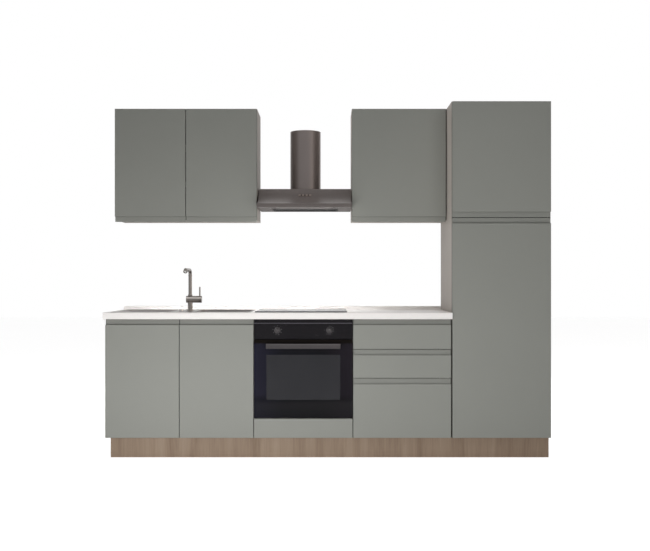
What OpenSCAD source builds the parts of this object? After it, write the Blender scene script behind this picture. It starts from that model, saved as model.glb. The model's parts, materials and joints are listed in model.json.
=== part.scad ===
// Straight run of fitted kitchen units: sink base, built-under oven, drawer base, tall larder,
// two wall units and a chimney hood, with worktop, sink, tap and hob.
// Drawn in kitchen coordinates: X from the sink unit's left end, Y 0 at the wall and negative
// towards the room, Z up from the floor. in_frame() then puts the origin under the middle.

/* [Run of units] */
// Width of the sink base and of the wall unit above it
sink_unit_w = 900; // [800:10:1000]
// Width of the oven base
oven_unit_w = 600; // [596:1:640]
// Width of the drawer base and of the wall unit above it
drawer_unit_w = 600; // [400:10:800]
// Width of the tall unit
tall_unit_w = 600; // [400:10:600]
// Height of the adjustable legs
leg_h = 125; // [100:5:160]
// Height of a base carcass
base_h = 720; // [715:1:760]
// Height of the tall carcass
tall_h = 2040; // [1900:10:2150]
// Height of the tall unit's lower door
tall_lower_door_h = 1331; // [1200:1:1400]
// Height of a wall carcass
wall_h = 705; // [600:5:780]
// Depth of a wall carcass, without doors
wall_d = 300; // [280:5:350]
// Underside of the wall carcasses above the floor
wall_z = 1460; // [1400:5:1500]
// Thickness of carcass boards
board_t = 18; // [15:1:22]
// Thickness of back panels
back_t = 8; // [4:1:12]
// Glue line between two boards
glue = 0.1; // [0.05:0.05:0.3]
// Space behind the base backs for pipes
void_d = 45; // [30:5:60]

/* [Fronts] */
// Front lip of a grip edge
lip_t = 4.5; // [4:0.5:6]
// Width of the routed finger groove
groove_w = 11; // [9:0.5:14]
// Back leaf behind the groove
leaf_t = 4.5; // [4:0.5:6]
// Height of leaf left above the lip
grip_h = 35; // [28:1:45]
// Depth of the groove below the lip
groove_drop = 10; // [6:1:16]
// Air between a front and its carcass
door_gap = 3; // [2.6:0.1:4]
// Reveal from a door's side edge to its module line
side_reveal = 2; // [1.5:0.5:3]
// Vertical joint between two fronts
front_joint = 4; // [3:0.5:6]
// Reveal beside the tall unit on drawer and wall fronts
tall_reveal = 7; // [5:0.5:10]
// How far a wall door hangs below its carcass
wall_door_drop = 11; // [5:1:20]
// Height of the top drawer front
drawer_top_h = 178.5; // [150:0.5:200]
// Height of the middle drawer front
drawer_mid_h = 171; // [150:1:200]
// Space behind a drawer's channel
slide_back = 54; // [20:1:80]

/* [Hinges] */
// Pin centre in from the door's edge
pin_in = 8; // [8:0.5:9]
// Pin centre behind the door's face
pin_back = 8.5; // [8.5:0.5:9]
// Diameter of a door hinge pin
hinge_pin_d = 2.6; // [2:0.2:3]
// Radial running clearance of pins and spigots
run_fit = 0.05; // [0.02:0.01:0.1]
// Diameter of the hinge cup
cup_d = 35; // [35:1:36]
// Hinge centre from the end of the door
hinge_end = 95; // [80:5:120]

/* [Plinth] */
// Plinth set back behind the fronts
plinth_back = 50; // [30:5:60]
// Thickness of the plinth board
plinth_t = 16; // [12:1:18]
// Plinth end set in from the run's end
plinth_in = 24; // [0:1:40]
// Diameter of a leg's foot
foot_d = 50; // [40:1:60]
// Diameter of a leg's tube
leg_d = 30; // [25:1:36]

/* [Worktop] */
// Thickness of the worktop
top_t = 40; // [28:1:40]
// Depth of the worktop
top_d = 600; // [590:5:650]
// Worktop past the base fronts
top_front = 20; // [10:1:40]
// Worktop past the run's left end
top_over = 8; // [2:1:20]
// Height of the upstand along the wall
upstand_h = 22; // [15:1:60]
// Thickness of the upstand
upstand_t = 16; // [10:1:20]

/* [Sink] */
// Width of the inset sink
sink_w = 860; // [780:10:880]
// Front rim of the sink behind the worktop edge
sink_front = 60; // [50:5:70]
// Worktop left behind the sink
sink_back = 40; // [30:1:60]
// Thickness of the sink rim
rim_t = 2; // [1.5:0.5:3]
// Thickness of the pressed bowl
sheet_t = 1.5; // [1:0.1:2]
// Width of the bowl
bowl_w = 340; // [300:10:360]
// Sink's rim in front of the bowl
bowl_front = 40; // [30:1:60]
// Sink's deck behind the bowl, for the tap
bowl_back = 80; // [75:1:100]
// Depth of the bowl below the rim
bowl_deep = 160; // [130:5:180]
// Corner radius of the bowl
bowl_r = 60; // [30:5:80]
// Worktop left under the rim on each side
rim_bearing = 10; // [8:1:15]
// Number of drainer ribs
ribs = 9; // [5:1:12]
// Travel of the pop-up plug
plug_lift = 8; // [5:1:12]
// Diameter of the waste outlet pipe
waste_d = 40; // [32:8:40]

/* [Tap] */
// Diameter of the spout tube
tube_d = 22; // [20:1:26]
// Diameter of the mixer body
mixer_d = 44; // [40:1:52]
// Length of the mixer body without its cap
mixer_l = 72; // [66:1:90]
// Length of the turning cap
cap_l = 25; // [22:1:30]
// Height of the spout arm above the sink
spout_h = 259; // [220:1:300]
// Reach of the spout from its column
spout_reach = 190; // [150:5:220]
// Yaw of the spout at rest towards the drainer
spout_yaw = 2; // [0:1:40]
// Length of the lever
lever_l = 62; // [56:1:90]

/* [Hob] */
// Worktop left beside the hob, within its unit
hob_side = 19; // [19:1:40]
// Worktop left in front of the hob
hob_front = 42; // [40:1:60]
// Worktop left behind the hob
hob_back = 48; // [40:1:60]
// Thickness of the hob glass
hob_t = 6; // [4:1:8]
// Hob centre left of the oven's centre
hob_off = 15; // [0:1:18]

/* [Oven] */
// Reveal on each side of the oven front
oven_side = 2.5; // [2.5:0.5:5]
// Height of the oven front
oven_h = 595.5; // [590:0.5:596]
// Height of the control panel
panel_h = 116; // [110:1:150]
// Air between the oven's casing and its housing's sides
casing_gap = 2; // [1:0.5:10]
// Air behind the oven's casing
casing_back = 87; // [60:1:120]
// Lagging between the casing and the cavity, on each side
lagging = 45; // [35:1:60]
// Lagging and duct behind the cavity
cavity_back = 70; // [50:1:90]
// Window's edge in from the cavity's side
window_in = 12; // [8:1:40]
// Height of the door window
window_h = 269; // [220:1:280]
// Handle's end in from the door's edge
handle_in = 73.5; // [50:0.5:100]
// Height of the flat handle bar
handle_h = 31; // [20:1:36]
// Reach of the handle in front of the door
handle_out = 42; // [36:1:50]
// Knob's centre in from the panel's end
knob_in = 140.5; // [100:0.5:180]
// Diameter of an oven knob
knob_d = 34; // [28:1:44]
// Diameter of the oven door's hinge pins
oven_pin_d = 4; // [3:0.5:5]

/* [Hood] */
// Hood's end in from the oven unit's line
hood_side = 5; // [4:0.5:20]
// Depth of the hood
hood_d = 440; // [400:5:500]
// Underside of the hood above the floor
hood_z = 1534; // [1500:1:1600]
// Height of the hood at the back
hood_h = 132; // [100:1:160]
// Depth of the hood's flat top
hood_top_d = 217; // [205:1:240]
// Height of the hood's front lip
hood_lip = 22; // [15:1:30]
// Radius of the hollow front curve
hood_curve = 300; // [260:5:400]
// Diameter of the chimney tube
chimney_d = 198; // [180:1:200]
// Top of the chimney above the floor
chimney_z = 2048; // [1950:1:2150]
// Filter's end in from the hood's end
filter_side = 87; // [80:1:110]
// Depth of the grease filter
filter_d = 230; // [200:1:250]
// Diameter of the fan wheel
fan_d = 150; // [120:1:160]
// Number of fan blades
fan_blades = 24; // [12:1:32]
// Travel of a push button
button_travel = 2; // [1:0.5:3]

/* [Hidden] */
$fn = 48;
tiny = 0.01;
seat = 0.3;

// Places along the run
oven_x = sink_unit_w;
drawer_x = oven_x + oven_unit_w;
tall_x = drawer_x + drawer_unit_w;
run_w = tall_x + tall_unit_w;
front_t = lip_t + groove_w + leaf_t;
base_d = top_d - top_front - front_t - door_gap;
front_y = -base_d - door_gap - front_t;
wall_front_y = -wall_d - door_gap - front_t;
top_z = leg_h + base_h + top_t;
base_top = leg_h + base_h;
tall_top = leg_h + tall_h;
bar_y = front_y - handle_out;
void_back = 12;

// Fronts, all with the same reveals
front_z = leg_h + 2;
base_door_h = base_h - 4;
sink_door_w = sink_unit_w / 2 - side_reveal - front_joint / 2;
drawer_w = drawer_unit_w - side_reveal - tall_reveal;
drawer_top_z = front_z + base_door_h - drawer_top_h;
drawer_mid_z = drawer_top_z - front_joint - drawer_mid_h;
drawer_low_h = drawer_mid_z - front_joint - front_z;
tall_door_w = tall_unit_w - 2 * side_reveal;
tall_upper_z = front_z + tall_lower_door_h + front_joint;
tall_upper_h = tall_top - 2 - tall_upper_z;
wall_door_z = wall_z - wall_door_drop;
wall_door_h = wall_h + wall_door_drop - 2;
wall_right_w = drawer_unit_w - side_reveal - tall_reveal + 1;

// Hinge parts, about the pin: -X is the door's edge and +Y its back
edge_wall = 3;
pocket_x = edge_wall - pin_in;
pocket_end = pocket_x + cup_d + 1;
pocket_floor = 3;
pocket_half = 9;
back_face = front_t - pin_back;
carcass_face = back_face + door_gap;
arm_x = 17;
arm_half = 6;
arm_t = 4;
arm_l = 58;
arm_eye_r = 2.7;
plate_t = 1.2;
cheek_t = 2;
inner_face = board_t - side_reveal - pin_in;

// Sink and tap
sink_x = (sink_unit_w - sink_w) / 2;
sink_y = -top_d + sink_front;
sink_d = top_d - sink_front - sink_back;
bowl_side = 15;
bowl_x = sink_x + sink_w - bowl_side - bowl_w;
bowl_y = sink_y + bowl_front;
bowl_l = sink_d - bowl_front - bowl_back;
bowl_cx = bowl_x + bowl_w / 2;
bowl_cy = bowl_y + bowl_l / 2;
bowl_floor = top_z + rim_t - bowl_deep;
deck_y = sink_y + sink_d / 2;
tap_x = sink_unit_w / 2 + 24;
knob_from_tap = 35;
knob_y = deck_y - 140;
knob_x = tap_x - knob_from_tap;
drain_from_tap = 95;
drain_x = sink_x + 35;
drain_w = tap_x - drain_from_tap - drain_x;
pan_deep = 9;
cut_r = bowl_r / 2;
column_d = 30;
column_h = 53;
tail_down = 40;
mixer_z = top_z + rim_t + column_h + mixer_d / 2 - 3;
mixer_x = tap_x - 24;
cap_x = mixer_x + mixer_l;
spigot_d = 16;
spigot_l = 15;
bend_r = 26;
lever_d = 9;
lever_x = cap_x + 13;
lever_z = mixer_z + mixer_d / 2 - 9;
lever_pin_d = 3;
waste_r = 35;
plug_d = 2 * waste_r - 4;
waste_drop = 36;
trap_d = 64;
trap_low = 60;
nut_l = 12;
waste_out_z = bowl_floor - 110;
pipe_d = 12;
pipe_gap = 1;
pipe_bend = 25;
pipe_z = [700, 650];

// Hob and oven
hob_cx = oven_x + oven_unit_w / 2 - hob_off;
hob_w = oven_unit_w - 2 * hob_side;
hob_d = top_d - hob_front - hob_back;
hob_y = -top_d + hob_front;
hob_case_w = hob_w - 14;
hob_case_d = hob_d - 24;
hob_case_h = top_t - 3;
oven_cx = oven_x + oven_unit_w / 2;
oven_w = oven_unit_w - 2 * oven_side;
casing_w = oven_unit_w - 2 * board_t - 2 * casing_gap;
casing_d = base_d - casing_back;
cavity_w = casing_w - 2 * lagging;
cavity_d = casing_d - cavity_back;
window_w = cavity_w - 2 * window_in;
handle_l = oven_w - 2 * handle_in;
knob_half = oven_w / 2 - knob_in;
oven_top = base_top - 2;
oven_z = oven_top - oven_h;
panel_z = oven_top - panel_h;
oven_gap = 6;
door_top_z = panel_z - oven_gap;
oven_back = front_y + front_t;
glass_t = 4;
window_z = oven_z + 110;
handle_z = door_top_z - 38;
bar_t = 9;
oven_pin_up = 7;
oven_pin_in = 8;
oven_pin_y = front_y + oven_pin_in;
oven_pin_z = oven_z + oven_pin_up;
lug_w = 12;
lug_r = 3.6;
lug_x = oven_w / 2 - 38;
flange_t = 1;
flange_y = -base_d - flange_t;
casing_z = oven_z - 4;
casing_h = base_top - 22 - casing_z;
casing_t = 1.5;
cavity_z = window_z - 20;
cavity_h = window_h + 40;
cavity_t = 2;
knob_z = panel_z + 51;
knob_out = 26;
shaft_d = 6;

// Hood
hood_cx = oven_x + oven_unit_w / 2 + 2;
hood_w = oven_unit_w - 2 * hood_side;
filter_w = hood_w - 2 * filter_side;
lamp_d = 60;
lamp_half = hood_w / 2 - lamp_d - 45;
lamp_y = -hood_d + 90;
hood_wall = 3;
filter_y = -filter_d - 30;
filter_pin_y = filter_y + filter_d - 6;
filter_t = 8;
filter_pin_d = 4;
filter_pin_up = 7;
filter_lug = 8;
chimney_cy = -chimney_d / 2 - 2;
plate_w = 80;
plate_h = 22;
button_d = 10;
button_l = 12;
button_pitch = 22;
motor_d = 70;
bracket_half = 20;

module in_frame() {
  translate([-(run_w - top_over) / 2, -bar_y / 2, 0]) children();
}

// A straight-edged piece between two X, two Y and two Z
module slab(x, y, z) {
  translate([x[0], y[0], z[0]]) cube([x[1] - x[0], y[1] - y[0], z[1] - z[0]]);
}

// A YZ outline run along X
module along_x(x0, length) {
  translate([x0, 0, 0]) rotate([90, 0, 90]) linear_extrude(length) children();
}

module rod_x(d, length) {
  rotate([0, 90, 0]) cylinder(d = d, h = length);
}

module rod_y(d, length) {
  rotate([-90, 0, 0]) cylinder(d = d, h = length);
}

// A rectangle with round corners, lower left corner at the origin
module round_rect(w, l, r) {
  translate([r, 0]) square([w - 2 * r, l]);
  translate([0, r]) square([w, l - 2 * r]);
  for (x = [r, w - r], y = [r, l - r]) translate([x, y]) circle(r);
}

// Carcasses
// Heights of the upright rails along the front and the back of an open carcass
rail_down = 60;
back_rail_down = 100;
// Two sides, a bottom, a back and either a top panel or two upright rails
module carcass(x0, w, depth, z0, h, clear_back, closed_top = true, back_to = 0, front_rail = true) {
  side = [x0 + board_t + glue, x0 + w - board_t - glue];
  back_y = [-clear_back - back_t, -clear_back];
  back_top = back_to > 0 ? back_to : z0 + h - board_t - glue;
  slab([x0, x0 + board_t], [-depth, 0], [z0, z0 + h]);
  slab([x0 + w - board_t, x0 + w], [-depth, 0], [z0, z0 + h]);
  slab(side, [-depth, 0], [z0, z0 + board_t]);
  slab(side, back_y, [z0 + board_t + glue, back_top]);
  if (closed_top) {
    slab(side, [-depth, 0], [z0 + h - board_t, z0 + h]);
  } else {
    slab(side, [back_y[0] - glue - board_t, back_y[0] - glue], [z0 + h - back_rail_down, z0 + h]);
    if (front_rail) slab(side, [-depth, -depth + board_t], [z0 + h - rail_down, z0 + h]);
  }
}

// Its back stops below the waste pipe
module sink_cabinet() {
  color([0.47, 0.45, 0.42]) carcass(0, sink_unit_w, base_d, leg_h, base_h, void_d, false,
    waste_out_z - waste_d / 2 - 20);
}

// The oven stands on its own shelf, and has no rail in front
module oven_housing() {
  color([0.47, 0.45, 0.42]) {
    carcass(oven_x, oven_unit_w, base_d, leg_h, base_h, void_d, false, 0, false);
    slab([oven_x + board_t + glue, drawer_x - board_t - glue], [-base_d, -void_d - back_t - glue],
      [casing_z - board_t, casing_z]);
  }
}

module drawer_cabinet() {
  color([0.47, 0.45, 0.42]) carcass(drawer_x, drawer_unit_w, base_d, leg_h, base_h, void_d, false);
}

module tall_cabinet() {
  color([0.58, 0.54, 0.51]) {
    carcass(tall_x, tall_unit_w, base_d, leg_h, tall_h, void_back);
    slab([tall_x + board_t + glue, run_w - board_t - glue], [-base_d, -void_back - back_t - glue],
      [tall_upper_z - front_joint / 2 - board_t / 2, tall_upper_z - front_joint / 2 + board_t / 2]);
  }
}

module wall_cabinet_left() {
  color([0.45, 0.43, 0.4]) carcass(0, sink_unit_w, wall_d, wall_z, wall_h, void_back);
}

module wall_cabinet_right() {
  color([0.45, 0.43, 0.4]) carcass(drawer_x, drawer_unit_w, wall_d, wall_z, wall_h, void_back);
}

// A loose shelf on four pins in the unit's sides
module shelf(x0, w, depth, z) {
  front = -depth + arm_l + 12;
  slab([x0 + board_t + seat, x0 + w - board_t - seat], [front, -void_back - back_t - seat],
    [z, z + board_t]);
  for (s = [0, 1], y = [front + 30, -void_back - back_t - 30])
    translate([s == 0 ? x0 + board_t : x0 + w - board_t, y, z - 2.5]) mirror([s, 0, 0]) rod_x(5, 10);
}

module shelves() {
  color([0.62, 0.6, 0.57]) {
    for (i = [1, 2]) {
      shelf(0, sink_unit_w, wall_d, wall_z + i * wall_h / 3);
      shelf(drawer_x, drawer_unit_w, wall_d, wall_z + i * wall_h / 3);
    }
    for (i = [1:3]) shelf(tall_x, tall_unit_w, base_d, leg_h + i * tall_lower_door_h / 4);
    shelf(tall_x, tall_unit_w, base_d, tall_upper_z + tall_upper_h / 2);
  }
}

// Steel rails on the wall that the wall units and the hood hang from
rail_t = 3;
rail_h = 40;
rail_hole_d = 7;
rail_hole_in = 100;
rail_z = wall_z + wall_h - board_t - glue - rail_h - 10;
module wall_rail(x0, w, z) {
  difference() {
    slab([x0 + board_t + seat, x0 + w - board_t - seat], [-rail_t, 0], [z, z + rail_h]);
    for (x = [x0 + rail_hole_in, x0 + w - rail_hole_in]) translate([x, -rail_t - 1, z + rail_h / 2])
      rod_y(rail_hole_d, rail_t + 2);
  }
}

module hood_rail() {
  z = hood_z + 50;
  difference() {
    slab([oven_x, drawer_x], [-rail_t, 0], [z, z + rail_h]);
    for (x = [oven_x + rail_hole_in, drawer_x - rail_hole_in]) translate([x, -rail_t - 1, z + rail_h / 2])
      rod_y(rail_hole_d, rail_t + 2);
  }
}

module wall_rails() {
  color("silver") {
    wall_rail(0, sink_unit_w, rail_z);
    wall_rail(drawer_x, drawer_unit_w, rail_z);
  }
}

// Adjustable legs, with a clip on each front leg that holds the plinth
leg_front_y = -base_d + 80;
leg_back_y = -80;
leg_in = 75;
clip_y = front_y + plinth_back + plinth_t;
module leg(x, y) {
  translate([x, y, 0]) {
    cylinder(d = foot_d, h = 10);
    cylinder(d = leg_d, h = leg_h - 5);
    translate([0, 0, leg_h - 8]) cylinder(d = foot_d + 10, h = 8);
  }
}

module plinth_clip(x) {
  z = leg_h / 2;
  difference() {
    union() {
      translate([x, leg_front_y, z]) cylinder(d = leg_d + 8, h = 20);
      slab([x - 15, x + 15], [clip_y, leg_front_y], [z, z + 20]);
    }
    translate([x, leg_front_y, z - 1]) cylinder(d = leg_d + 0.2, h = 22);
  }
}

module legs() {
  color([0.12, 0.12, 0.13]) for (u = [[0, sink_unit_w], [oven_x, oven_unit_w], [drawer_x, drawer_unit_w],
      [tall_x, tall_unit_w]], x = [u[0] + leg_in, u[0] + u[1] - leg_in]) {
    leg(x, leg_front_y);
    leg(x, leg_back_y);
    plinth_clip(x);
  }
}

// Front board and a return at the open left end
module plinth() {
  y = front_y + plinth_back;
  color([0.55, 0.48, 0.42]) {
    slab([plinth_in, run_w - 5], [y, y + plinth_t], [0, leg_h - seat]);
    slab([plinth_in, plinth_in + plinth_t], [y + plinth_t + glue, -10], [0, leg_h - seat]);
  }
}

// Fronts
// Outline of a front in Y and Z, with its grip along the top
module grip_outline(h) {
  difference() {
    square([front_t, h]);
    translate([-1, h - grip_h]) square([front_t - leaf_t + 1, grip_h + 1]);
    translate([lip_t, h - grip_h - groove_drop]) square([groove_w, groove_drop + 1]);
    translate([lip_t + groove_w / 2, h - grip_h - groove_drop]) circle(d = groove_w);
  }
  translate([lip_t / 2, h - grip_h]) circle(d = lip_t);
}

// A front between x0 and x0 + w, its face at y and its grip at the top or the bottom
module front_panel(x0, w, y, z, h, grip_up = true) {
  along_x(x0, w) translate([y, z + (grip_up ? 0 : h)]) mirror([0, grip_up ? 0 : 1]) grip_outline(h);
}

// Moves its children to a hinge: side 1 hangs the door at its left edge, -1 at its right
module at_hinge(edge_x, y, z, side) {
  translate([edge_x + side * pin_in, y + pin_back, z]) mirror([side > 0 ? 0 : 1, 0, 0]) children();
}

module hinge_pocket() {
  slab([pocket_x, pocket_end - 10], [-pocket_floor, back_face + 1], [-pocket_half, pocket_half]);
  translate([pocket_x + cup_d / 2, -pocket_floor, 0]) rod_y(cup_d, back_face + pocket_floor + 1);
}

// Steel plate on the door's back, its two cheeks in the pocket and the pin across them
module hinge_cup() {
  reach = pocket_x + cup_d;
  difference() {
    slab([pocket_x + 1, reach - 3], [back_face + glue, back_face + plate_t], [-26, 26]);
    slab([pocket_x - 1, arm_x + arm_t / 2 + 3], [back_face, back_face + plate_t + 1],
      [-arm_half - 0.5, arm_half + 0.5]);
  }
  for (s = [0, 1]) mirror([0, 0, s])
    slab([pocket_x + 1, arm_eye_r + 3], [-pocket_floor + seat, back_face + glue + tiny],
      [arm_half + 0.5, arm_half + 0.5 + cheek_t]);
  translate([0, 0, -arm_half - 0.5 - cheek_t / 2])
    cylinder(d = hinge_pin_d, h = 2 * arm_half + 1 + cheek_t);
}

// Fixed arm from the carcass side to the pin
module hinge_arm() {
  difference() {
    union() {
      translate([0, 0, -arm_half]) cylinder(r = arm_eye_r, h = 2 * arm_half);
      slab([0, arm_x + arm_t / 2], [-arm_t / 2, arm_t / 2], [-arm_half, arm_half]);
      slab([arm_x - arm_t / 2, arm_x + arm_t / 2], [-arm_t / 2, carcass_face + arm_l],
        [-arm_half, arm_half]);
      slab([inner_face, arm_x + arm_t / 2], [carcass_face + 8, carcass_face + arm_l],
        [-arm_half - 4, arm_half + 4]);
    }
    translate([0, 0, -arm_half - 1]) cylinder(d = hinge_pin_d + 2 * run_fit, h = 2 * arm_half + 2);
  }
}

// The seven doors, each with the edge its hinges are on, its left corner, width, face, bottom,
// height, side, whether its grip is up, and how many hinges it has
sink_left_door = [side_reveal, side_reveal, sink_door_w, front_y, front_z, base_door_h, 1, true, 2];
sink_right_door = [sink_unit_w - side_reveal, sink_unit_w - side_reveal - sink_door_w, sink_door_w,
  front_y, front_z, base_door_h, -1, true, 2];
wall_left_door = [side_reveal, side_reveal, sink_door_w, wall_front_y, wall_door_z, wall_door_h,
  1, false, 2];
wall_middle_door = [sink_unit_w - side_reveal, sink_unit_w - side_reveal - sink_door_w, sink_door_w,
  wall_front_y, wall_door_z, wall_door_h, -1, false, 2];
wall_right_door = [drawer_x + side_reveal + wall_right_w, drawer_x + side_reveal, wall_right_w,
  wall_front_y, wall_door_z, wall_door_h, -1, false, 2];
tall_lower_door = [run_w - side_reveal, tall_x + side_reveal, tall_door_w, front_y, front_z,
  tall_lower_door_h, -1, true, 3];
tall_upper_door = [run_w - side_reveal, tall_x + side_reveal, tall_door_w, front_y, tall_upper_z,
  tall_upper_h, -1, false, 2];
doors = [sink_left_door, sink_right_door, wall_left_door, wall_middle_door, wall_right_door,
  tall_lower_door, tall_upper_door];

function hinge_heights(d) = [for (i = [0:d[8] - 1])
  d[4] + hinge_end + i * (d[5] - 2 * hinge_end) / (d[8] - 1)];

module door(d) {
  color([0.57, 0.58, 0.55]) difference() {
    front_panel(d[1], d[2], d[3], d[4], d[5], d[7]);
    for (z = hinge_heights(d)) at_hinge(d[0], d[3], z, d[6]) hinge_pocket();
  }
  color("silver") for (z = hinge_heights(d)) at_hinge(d[0], d[3], z, d[6]) hinge_cup();
}

// A right-hand wall door stands a little further from its carcass side, so its arm is packed out
module hinge_arms() {
  color("silver") for (d = doors) for (z = hinge_heights(d)) at_hinge(d[0], d[3], z, d[6]) {
    hinge_arm();
    extra = d == wall_right_door ? drawer_unit_w - wall_right_w - 2 * side_reveal : 0;
    if (extra > 0)
      slab([inner_face - extra, inner_face - tiny], [carcass_face + 10, carcass_face + arm_l - 2],
        [-arm_half - 3, arm_half + 3]);
  }
}

// Drawers
slide_gap = 13;
slide_t = 1.5;
slide_h = 18;
slide_l = base_d - void_d - back_t - slide_back;
box_t = 12;
box_bottom_t = 8;
box_up = 24;
drawer_fronts = [[drawer_top_z, drawer_top_h, base_top - rail_down - 6.5 - drawer_top_z - box_up],
  [drawer_mid_z, drawer_mid_h, drawer_mid_h - box_up - 37],
  [front_z, drawer_low_h, drawer_low_h - box_up - 104.5]];
box_x0 = drawer_x + board_t + slide_gap;
box_x1 = tall_x - board_t - slide_gap;

module drawer_front(i) {
  f = drawer_fronts[i];
  color([0.57, 0.58, 0.55]) front_panel(drawer_x + side_reveal, drawer_w, front_y, f[0], f[1]);
}

// Two sides, a back and a bottom fixed to the front, with a running strip on each side
module drawer_box(i) {
  f = drawer_fronts[i];
  z = f[0] + box_up;
  y0 = oven_back + glue;
  y1 = y0 + slide_l;
  color([0.75, 0.74, 0.72]) {
    for (x = [box_x0, box_x1 - box_t]) slab([x, x + box_t], [y0, y1], [z, z + f[2]]);
    slab([box_x0 + box_t + glue, box_x1 - box_t - glue], [y1 - box_t, y1], [z, z + f[2]]);
    slab([box_x0 + box_t + glue, box_x1 - box_t - glue], [y0, y1 - box_t - glue], [z, z + box_bottom_t]);
  }
  color("silver") for (s = [0, 1]) translate([s == 0 ? box_x0 : box_x1, 0, 0]) mirror([s, 0, 0])
    slab([-slide_gap + slide_t + 2, -glue], [-base_d + 4, y1 - 2],
      [z + slide_t + seat, z + slide_h - slide_t - seat]);
}

// Channels on the carcass sides that the strips run in
module drawer_slides() {
  color("silver") for (f = drawer_fronts, s = [0, 1])
    translate([s == 0 ? drawer_x + board_t : tall_x - board_t, 0, f[0] + box_up]) mirror([s, 0, 0])
      difference() {
        slab([0, slide_gap - 2], [-base_d + 2, -base_d + 2 + slide_l], [0, slide_h]);
        slab([slide_t, slide_gap], [-base_d + 1, -base_d + 3 + slide_l], [slide_t, slide_h - slide_t]);
      }
}

// Worktop
top_round = 6;
module worktop() {
  cut = [sink_x + rim_bearing, sink_y + rim_bearing];
  difference() {
    along_x(-top_over, tall_x - seat + top_over) translate([-top_d, base_top]) {
      translate([top_round, 0]) square([top_d - top_round, top_t]);
      translate([0, top_round]) square([top_round + 1, top_t - 2 * top_round]);
      for (z = [top_round, top_t - top_round]) translate([top_round, z]) circle(top_round);
    }
    translate([cut[0], cut[1], base_top - 1]) linear_extrude(top_t + 2)
      round_rect(sink_w - 2 * rim_bearing, sink_d - 2 * rim_bearing, cut_r);
    slab([hob_cx - hob_case_w / 2 - 2, hob_cx + hob_case_w / 2 + 2],
      [hob_y + 10, hob_y + hob_case_d + 14], [base_top - 1, top_z + 1]);
  }
}

module worktop_coloured() {
  color([0.93, 0.91, 0.9]) worktop();
}

module upstand() {
  color([0.93, 0.92, 0.91]) slab([-top_over, tall_x - seat], [-upstand_t, 0], [top_z, top_z + upstand_h]);
}

// Sink, waste and tap
module sink() {
  color([0.5, 0.48, 0.47]) difference() {
    union() {
      translate([sink_x, sink_y, top_z]) linear_extrude(rim_t) round_rect(sink_w, sink_d, 20);
      translate([bowl_x, bowl_y, bowl_floor - sheet_t]) linear_extrude(bowl_deep)
        round_rect(bowl_w, bowl_l, bowl_r);
      translate([drain_x, bowl_y, top_z + rim_t - pan_deep - sheet_t]) linear_extrude(pan_deep)
        round_rect(drain_w, bowl_l, cut_r);
      translate([bowl_cx, bowl_cy, bowl_floor - sheet_t - 6]) cylinder(r = waste_r + 6, h = 6);
    }
    translate([bowl_x + sheet_t, bowl_y + sheet_t, bowl_floor]) linear_extrude(bowl_deep + 1)
      round_rect(bowl_w - 2 * sheet_t, bowl_l - 2 * sheet_t, bowl_r - sheet_t);
    difference() {
      translate([drain_x + sheet_t, bowl_y + sheet_t, top_z + rim_t - pan_deep])
        linear_extrude(pan_deep + 1)
          round_rect(drain_w - 2 * sheet_t, bowl_l - 2 * sheet_t, cut_r - sheet_t);
      for (i = [1:ribs]) translate([drain_x + 25, bowl_y + i * bowl_l / (ribs + 1) - 4, top_z - pan_deep])
        cube([drain_w - 50, 8, pan_deep - 1]);
    }
    translate([bowl_cx, bowl_cy, bowl_floor - sheet_t - 5]) cylinder(r = waste_r + 4, h = 20);
    translate([bowl_cx, bowl_cy, bowl_floor - 20]) cylinder(r = waste_r - 2, h = 20);
    translate([knob_x, knob_y, top_z - 1]) cylinder(d = shaft_d + 2 * run_fit, h = rim_t + 2);
    translate([tap_x, deck_y, top_z - 1]) cylinder(d = column_d - 6, h = rim_t + 2);
  }
}

// Strainer body in the bowl, a bottle trap under it, its nut and the pipe to the wall
module sink_waste() {
  z0 = bowl_floor - sheet_t - 5;
  color([0.75, 0.75, 0.76]) translate([bowl_cx, bowl_cy, 0]) {
    difference() {
      union() {
        translate([0, 0, z0]) cylinder(r = waste_r + 3.7, h = 2);
        translate([0, 0, z0 - waste_drop]) cylinder(r = waste_r - 2.3, h = waste_drop + 1);
        translate([0, 0, waste_out_z - trap_low])
          cylinder(d = trap_d, h = z0 - waste_drop - waste_out_z + trap_low - 20);
        translate([0, 0, z0 - waste_drop - 30]) cylinder(d = trap_d - 20, h = 40);
      }
      translate([0, 0, z0 - waste_drop + 3]) cylinder(r = waste_r - 5, h = waste_drop + 5);
      translate([0, 0, z0 - waste_drop - 16]) cylinder(d = shaft_d + 2 * run_fit, h = 30);
    }
    translate([0, 0, waste_out_z]) rod_y(waste_d + 14, trap_d / 2 + nut_l);
    translate([0, 0, waste_out_z]) rod_y(waste_d, -bowl_cy - 1);
  }
}

// Pop-up plug: a disc on a stem that slides in the strainer
module sink_plug() {
  z0 = bowl_floor - sheet_t - 2.7;
  color([0.7, 0.69, 0.68]) translate([bowl_cx, bowl_cy, 0]) {
    translate([0, 0, z0]) cylinder(d = plug_d, h = 4);
    translate([0, 0, z0 - waste_drop - plug_lift - 4])
      cylinder(d = shaft_d, h = waste_drop + plug_lift + 5);
  }
}

module waste_knob() {
  z = top_z + rim_t + seat;
  color([0.85, 0.84, 0.83]) translate([knob_x, knob_y, 0]) {
    translate([0, 0, z]) cylinder(d1 = 30, d2 = 26, h = 12);
    translate([0, 0, z + 12]) cylinder(d = 26, h = 3);
    translate([0, 0, top_z - 25]) cylinder(d = shaft_d, h = 27 + rim_t);
  }
}

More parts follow.
